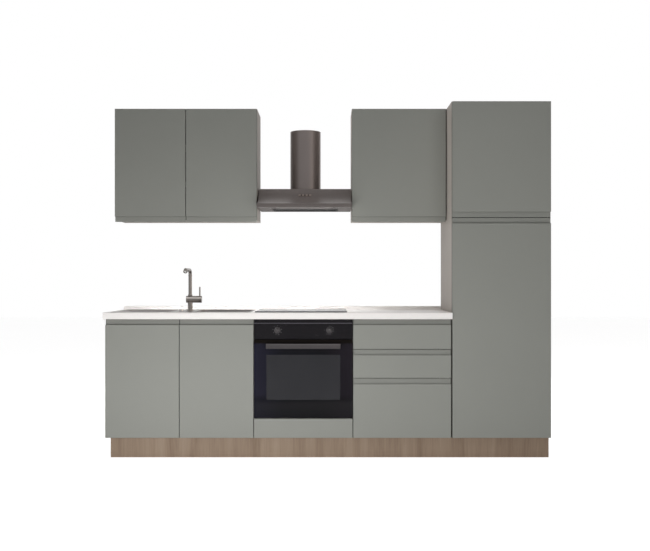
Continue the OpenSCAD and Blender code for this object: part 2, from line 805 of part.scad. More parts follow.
module tap_body() {
  color([0.56, 0.54, 0.52]) difference() {
    union() {
      translate([tap_x, deck_y, top_z + rim_t]) cylinder(d = column_d + 16, h = 5);
      translate([tap_x, deck_y, top_z - tail_down])
        cylinder(d = column_d - 7, h = column_h + tail_down + 20);
      translate([tap_x, deck_y, top_z + rim_t]) cylinder(d = column_d, h = column_h + 8);
      translate([mixer_x, deck_y, mixer_z]) rod_x(mixer_d, mixer_l - seat);
    }
    translate([tap_x, deck_y, mixer_z + mixer_d / 2 - spigot_l - 3])
      cylinder(d = spigot_d + 2 * run_fit, h = spigot_l + 10);
    translate([cap_x - spigot_l - 3, deck_y, mixer_z]) rod_x(spigot_d + 2 * run_fit, spigot_l + 10);
  }
}

// Rigid hot and cold pipes from the tap's tail down past the rail, then back to the wall
module tap_pipes() {
  color([0.72, 0.72, 0.73]) for (i = [0, 1]) {
    x = tap_x + (i == 0 ? -1 : 1) * (pipe_d + pipe_gap) / 2;
    y = deck_y - 4;
    translate([x, y, pipe_z[i] + pipe_bend])
      cylinder(d = pipe_d, h = top_z - tail_down - glue - pipe_z[i] - pipe_bend);
    translate([x, y + pipe_bend, pipe_z[i] + pipe_bend]) rotate([180, 0, 0]) rotate([90, 0, 90])
      rotate_extrude(angle = 90) translate([pipe_bend, 0]) circle(d = pipe_d);
    translate([x, y + pipe_bend, pipe_z[i]]) rod_y(pipe_d, -y - pipe_bend - 1);
  }
}

// Collar and spigot, upright tube, a bend, the arm and a nozzle turned down at its end
module tap_spout() {
  base_z = mixer_z + mixer_d / 2 + seat;
  arm_z = top_z + spout_h;
  arm_l2 = spout_reach - bend_r - 30;
  color([0.6, 0.58, 0.56]) translate([tap_x, deck_y, 0]) rotate([0, 0, -spout_yaw]) {
    translate([0, 0, base_z - spigot_l]) cylinder(d = spigot_d, h = spigot_l + 1);
    translate([0, 0, base_z]) cylinder(d = tube_d + 6, h = 7);
    translate([0, 0, base_z]) cylinder(d = tube_d, h = arm_z - bend_r - base_z);
    translate([0, 0, arm_z - bend_r - 12]) cylinder(d = tube_d + 2, h = 6);
    translate([0, -bend_r, arm_z - bend_r]) rotate([90, 0, 90]) rotate_extrude(angle = 90)
      translate([bend_r, 0]) circle(d = tube_d);
    difference() {
      translate([0, -bend_r, arm_z]) rotate([90, 0, 0]) cylinder(d = tube_d, h = arm_l2);
      translate([0, -bend_r - arm_l2, arm_z]) rotate([40, 0, 0]) translate([0, -40, 0])
        cube([60, 60, 80], center = true);
    }
    translate([0, -bend_r - arm_l2 + 7, arm_z]) rotate([130, 0, 0]) difference() {
      union() {
        cylinder(d = tube_d - 0.2, h = 14);
        translate([0, 0, 9]) cylinder(d = tube_d + 4, h = 10);
      }
      translate([0, 0, 13]) cylinder(d = tube_d - 4, h = 10);
    }
  }
}

// End cap of the mixer that turns for warmth, slotted for the lever
module tap_cap() {
  color([0.52, 0.5, 0.49]) difference() {
    union() {
      translate([cap_x, deck_y, mixer_z]) rod_x(mixer_d, cap_l);
      translate([cap_x - spigot_l, deck_y, mixer_z]) rod_x(spigot_d, spigot_l + 1);
    }
    slab([lever_x - 6, cap_x + cap_l + 1], [deck_y - 6, deck_y + 6], [lever_z - 6.5, mixer_z + mixer_d]);
  }
  color([0.52, 0.5, 0.49]) translate([lever_x, deck_y - 8, lever_z]) rod_y(lever_pin_d, 16);
}

module tap_lever() {
  color([0.62, 0.6, 0.58]) translate([lever_x, deck_y, lever_z]) difference() {
    union() {
      translate([0, -5.5, 0]) rod_y(10, 11);
      cylinder(d = lever_d, h = lever_l);
      translate([0, 0, lever_l]) sphere(d = lever_d);
    }
    translate([0, -10, 0]) rod_y(lever_pin_d + 2 * run_fit, 20);
  }
}

// Hob
module hob_glass() {
  color([0.12, 0.12, 0.13]) translate([hob_cx - hob_w / 2, hob_y, top_z + seat])
    linear_extrude(hob_t) round_rect(hob_w, hob_d, 12);
}

// Steel tray under the glass
module hob_case() {
  x = [hob_cx - hob_case_w / 2, hob_cx + hob_case_w / 2];
  y = [hob_y + 12, hob_y + 12 + hob_case_d];
  color([0.5, 0.5, 0.5]) difference() {
    slab(x, y, [top_z - hob_case_h, top_z + seat - tiny]);
    slab([x[0] + casing_t, x[1] - casing_t], [y[0] + casing_t, y[1] - casing_t],
      [top_z - hob_case_h + casing_t, top_z + 1]);
  }
}

// Oven
module box_of_sheets(x, y, z, t) {
  slab(x, y, [z[0], z[0] + t]);
  slab(x, y, [z[1] - t, z[1]]);
  slab([x[0], x[0] + t], y, [z[0] + t + glue, z[1] - t - glue]);
  slab([x[1] - t, x[1]], y, [z[0] + t + glue, z[1] - t - glue]);
  slab([x[0] + t + glue, x[1] - t - glue], [y[1] - t, y[1]], [z[0] + t + glue, z[1] - t - glue]);
}

// Outer sheets and the flange round the oven's mouth, in strips
module oven_casing() {
  x = [oven_cx - casing_w / 2, oven_cx + casing_w / 2];
  mouth = [oven_cx - cavity_w / 2, oven_cx + cavity_w / 2];
  f = [flange_y, flange_y + flange_t - glue];
  color([0.55, 0.55, 0.56]) {
    box_of_sheets(x, [-base_d + glue, -base_d + casing_d], [casing_z + glue, casing_z + casing_h],
      casing_t);
    slab([oven_cx - oven_w / 2 + 2, mouth[0] - glue], f, [oven_z + 16, casing_z + casing_h]);
    slab([mouth[1] + glue, oven_cx + oven_w / 2 - 2], f, [oven_z + 16, casing_z + casing_h]);
    slab(mouth, f, [oven_z + 16, cavity_z - glue]);
    slab(mouth, f, [cavity_z + cavity_h + glue, casing_z + casing_h]);
  }
}

module oven_cavity() {
  color([0.2, 0.2, 0.22]) box_of_sheets([oven_cx - cavity_w / 2, oven_cx + cavity_w / 2],
    [flange_y + flange_t, flange_y + cavity_d], [cavity_z, cavity_z + cavity_h], cavity_t);
}

// Grill element under the roof: straight runs joined by end bars
element_half = cavity_w / 2 - 70;
module oven_elements() {
  z = cavity_z + cavity_h - 22;
  color([0.3, 0.3, 0.31]) {
    for (x = [-3:3]) translate([oven_cx + x * element_half / 3, -base_d + 60, z])
      rod_y(8, cavity_d + flange_y - cavity_t - seat + base_d - 60);
    translate([oven_cx - element_half, -base_d + 60, z]) rod_x(8, 2 * element_half);
  }
}

rack_z = cavity_z + 110;
rack_d = cavity_d - 60;
module oven_rack() {
  half = cavity_w / 2 - cavity_t - 14;
  y = -base_d + 25;
  color([0.7, 0.7, 0.7]) {
    for (s = [-1, 1]) translate([oven_cx + s * half, y, rack_z]) rod_y(6, rack_d);
    for (v = [0, rack_d]) translate([oven_cx - half - 3, y + v, rack_z]) rod_x(6, 2 * half + 6);
    for (i = [1:13]) translate([oven_cx - half + i * 2 * half / 14, y, rack_z]) rod_y(3, rack_d);
  }
  color([0.3, 0.3, 0.31]) for (s = [0, 1]) translate([oven_cx, 0, 0]) mirror([s, 0, 0])
    slab([half - 6, half + 14 - seat], [y - 5, y + rack_d + 5], [rack_z - 3 - seat - 4, rack_z - 3 - seat]);
}

module oven_seal() {
  m = 4;
  x = [oven_cx - cavity_w / 2 - 10, oven_cx + cavity_w / 2 + 10];
  z = [cavity_z - 10, cavity_z + cavity_h + 10];
  y = [oven_back + seat, flange_y - glue];
  color([0.1, 0.1, 0.1]) difference() {
    slab(x, y, z);
    slab([x[0] + m, x[1] - m], [y[0] - 1, y[1] + 1], [z[0] + m, z[1] - m]);
  }
}

// Control panel with a pale trim line and two shaft holes
module oven_panel() {
  x = [oven_cx - oven_w / 2, oven_cx + oven_w / 2];
  color([0.14, 0.14, 0.17]) difference() {
    slab(x, [front_y, oven_back + 2 - tiny], [panel_z, oven_top]);
    slab([x[0] + 3, x[1] - 3], [front_y + 3, oven_back + 3], [panel_z + 3, oven_top - 3]);
    slab([x[0] - 1, x[1] + 1], [front_y - 1, front_y + 1], [oven_top - 24, oven_top - 21]);
    for (s = [-1, 1]) translate([oven_cx + s * knob_half, front_y - 1, knob_z])
      rod_y(shaft_d + 2 * run_fit, 10);
  }
}

module oven_knob(s) {
  color([0.22, 0.21, 0.22]) translate([oven_cx + s * knob_half, front_y, knob_z]) {
    translate([0, -seat - 5, 0]) rod_y(knob_d + 6, 5);
    translate([0, -knob_out, 0]) rod_y(knob_d, knob_out - seat);
    translate([0, -1, 0]) rod_y(shaft_d, 18);
    slab([-3, 3], [-knob_out - 6, -knob_out + 1], [-knob_d / 2 + 1, knob_d / 2 - 1]);
  }
}

// Two fixed lugs that the door's pins turn in
module oven_hinges() {
  color("silver") for (s = [-1, 1]) translate([oven_cx + s * lug_x, oven_pin_y, oven_pin_z]) difference() {
    union() {
      translate([-lug_w / 2, 0, 0]) rod_x(2 * lug_r, lug_w);
      slab([-lug_w / 2, lug_w / 2], [0, -base_d - oven_pin_y + 40], [-lug_r, lug_r]);
      slab([-lug_w / 2, lug_w / 2], [-base_d - oven_pin_y + 4, -base_d - oven_pin_y + 40],
        [casing_z + glue + casing_t + glue - oven_pin_z, lug_r]);
    }
    translate([-lug_w, 0, 0]) rod_x(oven_pin_d + 2 * run_fit, 2 * lug_w);
  }
}

// Steel frame behind the glass, notched for the lugs, with a pin across each notch
module oven_door() {
  x = [oven_cx - oven_w / 2, oven_cx + oven_w / 2];
  notch = lug_w / 2 + 1;
  color([0.15, 0.15, 0.18]) difference() {
    slab(x, [front_y + glass_t, oven_back], [oven_z, door_top_z]);
    slab([oven_cx - window_w / 2, oven_cx + window_w / 2], [front_y, oven_back + 1],
      [window_z, window_z + window_h]);
    for (s = [-1, 1]) translate([oven_cx + s * lug_x, 0, 0])
      slab([-notch, notch], [oven_pin_y - 4, oven_back + 1], [oven_z - 1, oven_pin_z + 5]);
    along_x(x[0] - 1, oven_w + 2) polygon([[oven_back + 1, oven_z - 1], [oven_back + 1, oven_z + 3],
      [oven_back - 3, oven_z - 1]]);
  }
  color("silver") for (s = [-1, 1]) translate([oven_cx + s * lug_x - notch - 4, oven_pin_y, oven_pin_z])
    rod_x(oven_pin_d, 2 * notch + 8);
}

// Outer pane over the whole door and an inner pane in the frame's window
module oven_door_glass() {
  color([0.1, 0.1, 0.12]) {
    slab([oven_cx - oven_w / 2, oven_cx + oven_w / 2], [front_y, front_y + glass_t - glue],
      [oven_z, door_top_z]);
    slab([oven_cx - window_w / 2 + seat, oven_cx + window_w / 2 - seat],
      [oven_back - glass_t, oven_back - seat], [window_z + seat, window_z + window_h - seat]);
  }
}

module oven_handle() {
  color([0.32, 0.31, 0.31]) {
    slab([oven_cx - handle_l / 2, oven_cx + handle_l / 2], [bar_y, bar_y + bar_t],
      [handle_z - handle_h / 2, handle_z + handle_h / 2]);
    for (s = [-1, 1]) translate([oven_cx + s * (handle_l / 2 - 25), bar_y + bar_t - 1, handle_z])
      rod_y(16, handle_out - bar_t + 1 - glue);
  }
}

module oven_filler() {
  color([0.57, 0.58, 0.55]) slab([oven_cx - oven_w / 2, oven_cx + oven_w / 2], [front_y, front_y + front_t],
    [front_z, oven_z - 4.5]);
  color([0.57, 0.58, 0.55]) for (x = [oven_x + board_t + glue, drawer_x - board_t - 30])
    slab([x, x + 30 - glue], [oven_back + glue, -base_d + 40],
      [front_z + board_t + 10, front_z + board_t + 60]);
}

// Hood
// Centre of the hollow curve through the lip's top and the flat top's front edge
curve_a = [-hood_d, hood_z + hood_lip];
curve_b = [-hood_top_d, hood_z + hood_h];
curve_len = norm(curve_b - curve_a);
curve_up = sqrt(hood_curve * hood_curve - curve_len * curve_len / 4);
curve_c = (curve_a + curve_b) / 2
  + [-(curve_b - curve_a)[1], (curve_b - curve_a)[0]] / curve_len * curve_up;

module hood_outline(inset) {
  difference() {
    translate([-hood_d + inset, hood_z + inset])
      square([hood_d - rail_t - seat - 2 * inset, hood_h - 2 * inset]);
    translate(curve_c) circle(hood_curve + inset, $fn = 96);
    translate([curve_c[0] - hood_curve, curve_a[1] - inset])
      square([curve_a[0] + inset - curve_c[0] + hood_curve, hood_curve]);
  }
}

module hood_canopy() {
  duct_d = chimney_d - 60;
  color([0.4, 0.38, 0.38]) difference() {
    along_x(hood_cx - hood_w / 2, hood_w) hood_outline(0);
    along_x(hood_cx - hood_w / 2 + hood_wall, hood_w - 2 * hood_wall) hood_outline(hood_wall);
    slab([hood_cx - filter_w / 2 - 2, hood_cx + filter_w / 2 + 2], [filter_y - 2, filter_y + filter_d + 4],
      [hood_z - 1, hood_z + hood_wall + 1]);
    translate([hood_cx, chimney_cy, hood_z + hood_h - hood_wall - 1])
      cylinder(d = duct_d, h = hood_wall + 2);
    for (i = [-1:1]) translate([hood_cx + i * button_pitch, button_face[0], button_face[1]])
      rotate([button_tilt, 0, 0]) translate([0, 0, -20]) cylinder(d = 7 + 2 * run_fit, h = 40);
    for (s = [-1, 1]) translate([hood_cx + s * lamp_half, lamp_y, hood_z - 1])
      cylinder(d = lamp_d + 0.6, h = hood_wall + 2);
  }
  color([0.4, 0.38, 0.38]) for (s = [0, 1]) translate([hood_cx, 0, 0]) mirror([s, 0, 0]) difference() {
    slab([filter_w / 2 + 2, filter_w / 2 + 2 + filter_lug], [filter_pin_y - 7, filter_pin_y + 7],
      [hood_z + hood_wall - tiny, hood_z + filter_pin_up + 7]);
    translate([filter_w / 2, filter_pin_y, hood_z + filter_pin_up]) rod_x(filter_pin_d + 2 * run_fit, 20);
  }
  color("silver") hood_rail();
}

// Buttons sit on the curve, square to it
button_turn = 12.5;
button_ang = atan2(curve_b[1] - curve_c[1], curve_b[0] - curve_c[0]) - button_turn;
button_face = curve_c + hood_curve * [cos(button_ang), sin(button_ang)];
button_tilt = button_ang + 90;

module on_curve() {
  translate([hood_cx, button_face[0], button_face[1]]) rotate([button_tilt, 0, 0]) children();
}

module hood_switch_plate() {
  color([0.5, 0.47, 0.45]) on_curve() difference() {
    translate([-plate_w / 2, -plate_h / 2, 0.5]) cube([plate_w, plate_h, 2]);
    for (i = [-1:1]) translate([i * button_pitch, 0, -1]) cylinder(d = button_d + 0.6, h = 10);
  }
}

module hood_button(i) {
  color([0.3, 0.29, 0.29]) on_curve() translate([i * button_pitch, 0, 0]) {
    translate([0, 0, button_travel + 0.6]) cylinder(d = button_d, h = 3);
    translate([0, 0, -button_l]) cylinder(d = 7, h = button_l + 4);
  }
}

module hood_chimney() {
  z = hood_z + hood_h;
  color([0.4, 0.38, 0.37]) difference() {
    translate([hood_cx, chimney_cy, z]) cylinder(d = chimney_d, h = chimney_z - z);
    translate([hood_cx, chimney_cy, z + 2]) cylinder(d = chimney_d - 4, h = chimney_z - z);
    translate([hood_cx, chimney_cy, z - 1]) cylinder(d = chimney_d - 60, h = 5);
  }
}

// Grease filter in a frame, hung on two pins at its back edge
module hood_filter() {
  color([0.35, 0.33, 0.32]) {
    for (s = [0, 1]) translate([hood_cx, filter_pin_y, hood_z + filter_pin_up]) mirror([s, 0, 0])
      translate([filter_w / 2 - 10, 0, 0]) rod_x(filter_pin_d, 12 + filter_lug);
    difference() {
      slab([hood_cx - filter_w / 2, hood_cx + filter_w / 2], [filter_y, filter_y + filter_d],
        [hood_z + 1, hood_z + 1 + filter_t]);
      slab([hood_cx - filter_w / 2 + 12, hood_cx + filter_w / 2 - 12],
        [filter_y + 12, filter_y + filter_d - 12], [hood_z, hood_z + 4]);
    }
  }
}

module hood_fan() {
  z = hood_z + 45;
  color([0.2, 0.2, 0.2]) translate([hood_cx, chimney_cy, z]) {
    difference() {
      union() {
        cylinder(d = fan_d, h = 3);
        for (i = [0:fan_blades - 1]) rotate([0, 0, i * 360 / fan_blades]) translate([fan_d / 2 - 16, -1, 2])
          cube([14, 2, 42]);
        cylinder(d = 26, h = 24);
      }
      translate([0, 0, -1]) cylinder(d = 10 + 2 * run_fit, h = 30);
    }
  }
}

// Motor under the fan on a bracket across the hood's floor, its shaft up through the wheel
module hood_motor() {
  color([0.5, 0.5, 0.5]) translate([hood_cx, chimney_cy, 0]) {
    translate([0, 0, hood_z + 20]) cylinder(d = motor_d, h = 22);
    translate([0, 0, hood_z + 40]) cylinder(d = 10, h = 24);
    slab([-hood_w / 2 + hood_wall + seat, hood_w / 2 - hood_wall - seat], [-bracket_half, bracket_half],
      [hood_z + 17, hood_z + 20]);
  }
}

module hood_lamps() {
  color([0.9, 0.9, 0.85]) for (s = [-1, 1]) translate([hood_cx + s * lamp_half, lamp_y, hood_z]) {
    cylinder(d = lamp_d, h = 12);
    translate([0, 0, hood_wall + seat]) cylinder(d = lamp_d + 8, h = 3);
  }
}

in_frame() sink_cabinet();
in_frame() oven_housing();
in_frame() drawer_cabinet();
in_frame() tall_cabinet();
in_frame() wall_cabinet_left();
in_frame() wall_cabinet_right();
in_frame() shelves();
in_frame() wall_rails();
in_frame() legs();
in_frame() plinth();
in_frame() hinge_arms();
in_frame() drawer_slides();
in_frame() worktop_coloured();  // worktop
in_frame() upstand();
in_frame() door(sink_left_door);  // sink_door_left
in_frame() door(sink_right_door);  // sink_door_right
in_frame() door(wall_left_door);  // wall_door_left
in_frame() door(wall_middle_door);  // wall_door_middle
in_frame() door(wall_right_door);  // wall_door_right
in_frame() door(tall_lower_door);  // tall_door_lower
in_frame() door(tall_upper_door);  // tall_door_upper
in_frame() drawer_front(0);  // drawer_front_top
in_frame() drawer_front(1);  // drawer_front_middle
in_frame() drawer_front(2);  // drawer_front_bottom
in_frame() drawer_box(0);  // drawer_box_top
in_frame() drawer_box(1);  // drawer_box_middle
in_frame() drawer_box(2);  // drawer_box_bottom
in_frame() sink();
in_frame() sink_waste();
in_frame() sink_plug();
in_frame() waste_knob();
in_frame() tap_body();
in_frame() tap_pipes();
in_frame() tap_spout();
in_frame() tap_cap();
in_frame() tap_lever();
in_frame() hob_glass();
in_frame() hob_case();
in_frame() oven_casing();
in_frame() oven_cavity();
in_frame() oven_elements();
in_frame() oven_rack();
in_frame() oven_seal();
in_frame() oven_panel();
in_frame() oven_hinges();
in_frame() oven_door();
in_frame() oven_door_glass();
in_frame() oven_handle();
in_frame() oven_knob(-1);  // oven_knob_left
in_frame() oven_knob(1);  // oven_knob_right
in_frame() oven_filler();
in_frame() hood_canopy();
in_frame() hood_chimney();
in_frame() hood_filter();
in_frame() hood_fan();
in_frame() hood_motor();
in_frame() hood_lamps();
in_frame() hood_switch_plate();
in_frame() hood_button(-1);  // hood_button_light
in_frame() hood_button(0);  // hood_button_slow
in_frame() hood_button(1);  // hood_button_fast
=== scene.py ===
"""Looks of a straight run of fitted kitchen units. Metres, +Z up, the fronts face -Y."""
import json
import math

import bmesh
import bpy
from mathutils import Matrix, Vector


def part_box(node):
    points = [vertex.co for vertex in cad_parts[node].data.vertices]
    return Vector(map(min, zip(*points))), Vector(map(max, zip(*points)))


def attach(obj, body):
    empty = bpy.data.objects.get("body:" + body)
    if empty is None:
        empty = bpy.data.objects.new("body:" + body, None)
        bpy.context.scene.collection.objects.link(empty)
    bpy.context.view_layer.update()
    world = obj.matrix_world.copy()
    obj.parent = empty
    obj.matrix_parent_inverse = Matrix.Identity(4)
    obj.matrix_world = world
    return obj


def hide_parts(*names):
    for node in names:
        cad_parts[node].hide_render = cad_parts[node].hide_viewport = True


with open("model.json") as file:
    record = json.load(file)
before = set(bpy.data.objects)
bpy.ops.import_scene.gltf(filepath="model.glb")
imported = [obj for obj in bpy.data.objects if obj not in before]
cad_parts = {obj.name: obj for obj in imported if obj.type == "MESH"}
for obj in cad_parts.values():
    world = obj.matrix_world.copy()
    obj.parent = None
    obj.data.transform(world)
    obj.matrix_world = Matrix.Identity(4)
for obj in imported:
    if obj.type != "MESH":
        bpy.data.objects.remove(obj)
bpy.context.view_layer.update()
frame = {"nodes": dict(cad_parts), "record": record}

# Sizes that the finishes and added pieces share
FRONT_THICK, GRIP_TALL = 0.020, 0.050
CABINET_BOARD = 0.018
WINDOW_SIDE, WINDOW_BOTTOM, WINDOW_TOP = 0.0745, 0.110, 0.0915
SINK_SHEET, BOWL_DEEP, PAN_DEEP = 0.0015, 0.160, 0.009
FINE_EDGE = 0.0006
BOARD_EDGE = 0.0008
SHEET_EDGE = 0.0003
SMOOTH_ANGLE = math.radians(32)
RIGHT, AHEAD, BACK, UP = (1, 0, 0), (0, -1, 0), (0, 1, 0), (0, 0, 1)

DOORS = ("sink_door_left", "sink_door_right", "wall_door_left", "wall_door_middle",
         "wall_door_right", "tall_door_lower", "tall_door_upper")
LEVELS = ("top", "middle", "bottom")
CABINETS = ("sink_cabinet", "oven_housing", "drawer_cabinet", "tall_cabinet",
            "wall_cabinet_left", "wall_cabinet_right")


def linear(red, green, blue):
    """A display colour from 0 to 255, as the shader's own colour."""
    def one(value):
        value /= 255
        return value / 12.92 if value <= 0.04045 else ((value + 0.055) / 1.055) ** 2.4
    return one(red), one(green), one(blue), 1.0


class Value:
    """A shader socket that Python's operators work on."""

    def __init__(self, finish, socket):
        self.finish, self.socket = finish, socket

    def _math(self, operation, first, second):
        return self.finish.node("ShaderNodeMath", {"operation": operation}, {0: first, 1: second})

    def __add__(self, other):
        return self._math("ADD", self, other)

    def __sub__(self, other):
        return self._math("SUBTRACT", self, other)

    def __rsub__(self, other):
        return self._math("SUBTRACT", other, self)

    def __mul__(self, other):
        return self._math("MULTIPLY", self, other)

    def __truediv__(self, other):
        return self._math("DIVIDE", self, other)

    def __gt__(self, other):
        return self._math("GREATER_THAN", self, other)

    def __lt__(self, other):
        return self._math("LESS_THAN", self, other)

    __radd__ = __add__
    __rmul__ = __mul__


class Finish:
    """A node material, with a Principled shader whose sockets are set by name."""

    def __init__(self, name, roughness=0.5, metallic=0.0, specular=0.5, owner=None):
        self.owner = owner or bpy.data.materials.new(name)
        self.owner.use_nodes = True
        self.tree = self.owner.node_tree
        if owner is None:
            self.shader = self.tree.nodes["Principled BSDF"]
            self.put({"Roughness": roughness, "Metallic": metallic, "Specular IOR Level": specular})

    def plug(self, target, value):
        if isinstance(value, Value):
            self.tree.links.new(value.socket, target)
        else:
            target.default_value = value

    def node(self, kind, settings=None, sockets=None, output=0):
        made = self.tree.nodes.new(kind)
        for name, value in (settings or {}).items():
            if name == "stops":
                set_stops(made.color_ramp, value)
            else:
                setattr(made, name, value)
        for name, value in (sockets or {}).items():
            self.plug(made.inputs[name], value)
        return Value(self, made.outputs[output])

    def put(self, sockets):
        for name, value in sockets.items():
            self.plug(self.shader.inputs[name], value)
        return self

    def fed(self, name):
        """What one of the shader's sockets is linked to."""
        return Value(self, self.shader.inputs[name].links[0].from_socket)

    def vector(self, operation, first, second, output=0):
        settings = {"operation": operation}
        return self.node("ShaderNodeVectorMath", settings, {0: first, 1: second}, output)

    def part(self, vector, axis):
        return self.node("ShaderNodeSeparateXYZ", None, {0: vector}, axis)

    def point(self, stretch=(1, 1, 1)):
        """The place on the piece in metres, scaled along each axis."""
        return self.vector("MULTIPLY", self.node("ShaderNodeTexCoord", output="Object"), stretch)

    def axis(self, name):
        return self.part(self.point(), name)

    def normal(self):
        return self.node("ShaderNodeNewGeometry", output="Normal")

    def noise(self, scale, detail, stretch=(1, 1, 1), twist=0.0):
        return self.node("ShaderNodeTexNoise", None, {
            "Vector": self.point(stretch), "Scale": scale, "Detail": detail, "Distortion": twist})

    def cells(self, scale, output=0):
        return self.node("ShaderNodeTexVoronoi", None, {"Vector": self.point(), "Scale": scale}, output)

    def ramp(self, value, stops):
        return self.node("ShaderNodeValToRGB", {"stops": stops}, {0: value})

    def shade(self, value, *stops):
        """A ramp of greys, from (place, level) pairs."""
        return self.ramp(value, [(place, grey(level)) for place, level in stops])

    def mix(self, factor, first, second, blend="MIX"):
        settings = {"data_type": "RGBA", "blend_type": blend}
        return self.node("ShaderNodeMix", settings, {0: factor, 6: first, 7: second}, 2)

    def bump(self, height, depth, strength):
        return self.put({"Normal": self.node("ShaderNodeBump", None, {
            "Height": height, "Distance": depth, "Strength": strength})})


def set_stops(color_ramp, stops):
    while len(color_ramp.elements) > 1:
        color_ramp.elements.remove(color_ramp.elements[-1])
    for index, (place, colour) in enumerate(stops):
        element = color_ramp.elements[0] if index == 0 else color_ramp.elements.new(place)
        element.position, element.color = place, colour


def grey(level):
    return level, level, level, 1.0


def tinted(colour, factor):
    return tuple(min(1.0, channel * factor) for channel in colour[:3]) + (1.0,)


# Finishes
def lacquer(name, door, groove_shade, leaf_shade, lip_shadow_tone=1.0):
    """Satin grey-green lacquer: faint cloudiness, fine orange peel, painted shade in the routed grip, on the
    recessed leaf and on the side edges, and on wall fronts a painted shadow line under the lip.
    """
    colour = linear(144.5, 145.5, 139.5)
    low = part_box(door)[0]
    finish = Finish(name, specular=0.35)
    cloud = finish.noise(2.2, 2)
    face = finish.mix(cloud, tinted(colour, 0.975), tinted(colour, 1.025))
    # Painted shade by depth behind the front face: darker in the groove, on the side edges and on the
    # recessed leaf.
    inset = (finish.axis("Y") - low.y) / FRONT_THICK
    grip = finish.shade(inset, (0.04, 1.0), (0.10, groove_shade), (0.72, groove_shade),
                        (0.76, leaf_shade), (0.93, leaf_shade), (0.97, 1.0))
    if lip_shadow_tone < 1:
        # A painted shadow line on the leaf just under the lip.
        above = (finish.axis("Z") - low.z) / GRIP_TALL
        line = finish.shade(above, (0.60, 1.0), (0.66, lip_shadow_tone))
        grip = finish.mix((inset > 0.74) * (inset < 0.95), grip, line)
    finish.put({"Base Color": finish.mix(1.0, face, grip, "MULTIPLY"),
                "Roughness": 0.40 + 0.08 * finish.noise(35, 2)})
    return finish.bump(finish.noise(700, 2) + 0.5 * finish.noise(120, 2), 0.00004, 0.5)


def melamine(name, colour, spread, edging_and_gap_shade=None):
    """Faced board with a soft vertical figure and a pressed pore, and a dark edging on its front edges, which
    also paints the shade seen in the gaps between fronts.
    """
    finish = Finish(name, specular=0.3)
    figure = finish.noise(7, 4, (9, 9, 1), 0.6)
    face = finish.mix(figure, tinted(colour, 1 - spread), tinted(colour, 1 + spread))
    if edging_and_gap_shade:
        # The dark edging on faces that look ahead is also painted shade for the gaps between fronts.
        face = finish.mix(finish.part(finish.normal(), "Y") < -0.9, face, edging_and_gap_shade)
    finish.put({"Base Color": face, "Roughness": 0.48 + 0.12 * finish.noise(90, 2, (4, 4, 0.4))})
    return finish.bump(finish.noise(420, 3, (3, 3, 0.35)), 0.00008, 0.6)


def plinth_wood():
    """Brown woodgrain foil, its grain upright."""
    finish = Finish("plinth_wood", specular=0.3)
    bands = finish.noise(11, 5, (1, 1, 0.10), 0.8)
    streak = finish.noise(120, 4, (1, 1, 0.05), 0.4)
    colour = finish.ramp(bands * 0.75 + streak * 0.35, [
        (0.22, linear(117, 98, 82)), (0.42, linear(136, 117, 100)), (0.60, linear(150, 131, 113)),
        (0.80, linear(163, 145, 127))])
    finish.put({"Base Color": colour, "Roughness": 0.45 + 0.15 * streak})
    return finish.bump(streak, 0.00015, 0.7)


def worktop_laminate():
    """Pale laminate with faint flecks and a fine pressed grain."""
    colour = linear(250, 246, 243)
    finish = Finish("worktop_laminate", specular=0.35)
    fleck = finish.noise(260, 4)
    shade = finish.ramp(fleck, [(0.30, tinted(colour, 0.93)), (0.45, colour), (1.0, colour)])
    finish.put({"Base Color": finish.mix(0.25 * finish.noise(3, 2), shade, tinted(colour, 0.96)),
                "Roughness": 0.36 + 0.12 * finish.noise(180, 2)})
    return finish.bump(finish.noise(900, 2), 0.00006, 0.5)


def brushed(name, colour, roughness, lines, depth=0.00003):
    """Metal brushed along one axis: lines is how densely each axis changes."""
    finish = Finish(name, roughness, 1.0)
    grain = finish.noise(1, 4, lines)
    soft = finish.noise(6, 2)
    finish.put({"Base Color": finish.mix(grain, tinted(colour, 0.90), tinted(colour, 1.06)),
                "Roughness": roughness - 0.05 + 0.12 * grain + 0.05 * soft})
    return finish.bump(grain, depth, 0.6)


def sink_steel():
    """Brushed steel, with a dark sound-deadening coat on the outside of the bowl, which also paints the shade
    seen through the gap above the sink doors.
    """
    finish = brushed("sink_steel", linear(151, 146, 144), 0.30, (25, 1400, 1400))
    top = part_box("sink")[1].z
    bowl_low, bowl_high = below("sink", top - BOWL_DEEP / 2)
    away = finish.vector("SUBTRACT", finish.point(), (bowl_low + bowl_high) / 2)
    outward = finish.vector("DOT_PRODUCT", away, finish.normal(), "Value")
    # The dark coat on the bowl's outside is also painted shade for the gap above the sink doors.
    coat = (outward > 0.0) * (finish.axis("Z") < top - 0.02)
    return finish.put({"Base Color": finish.mix(coat, finish.fed("Base Color"), linear(62, 61, 62)),
                       "Metallic": 1 - coat})


def satin_metal(name, colour, roughness, metallic=0.8):
    """Fine metallic lacquer with a slight flake."""
    finish = Finish(name, roughness, metallic)
    flake = finish.cells(1900)
    finish.put({"Base Color": finish.mix(flake, tinted(colour, 0.88), tinted(colour, 1.08)),
                "Roughness": roughness + 0.08 * finish.noise(25, 2)})
    return finish.bump(finish.noise(650, 2), 0.00003, 0.5)


def moulded(name, colour, roughness=0.45, grain=900):
    """Moulded plastic with a fine spark-eroded grain."""
    finish = Finish(name, specular=0.4)
    fine = finish.noise(grain, 3)
    finish.put({"Base Color": finish.mix(finish.noise(14, 2), tinted(colour, 0.94), tinted(colour, 1.06)),
                "Roughness": roughness + 0.10 * fine})
    return finish.bump(fine, 0.00005, 0.6)


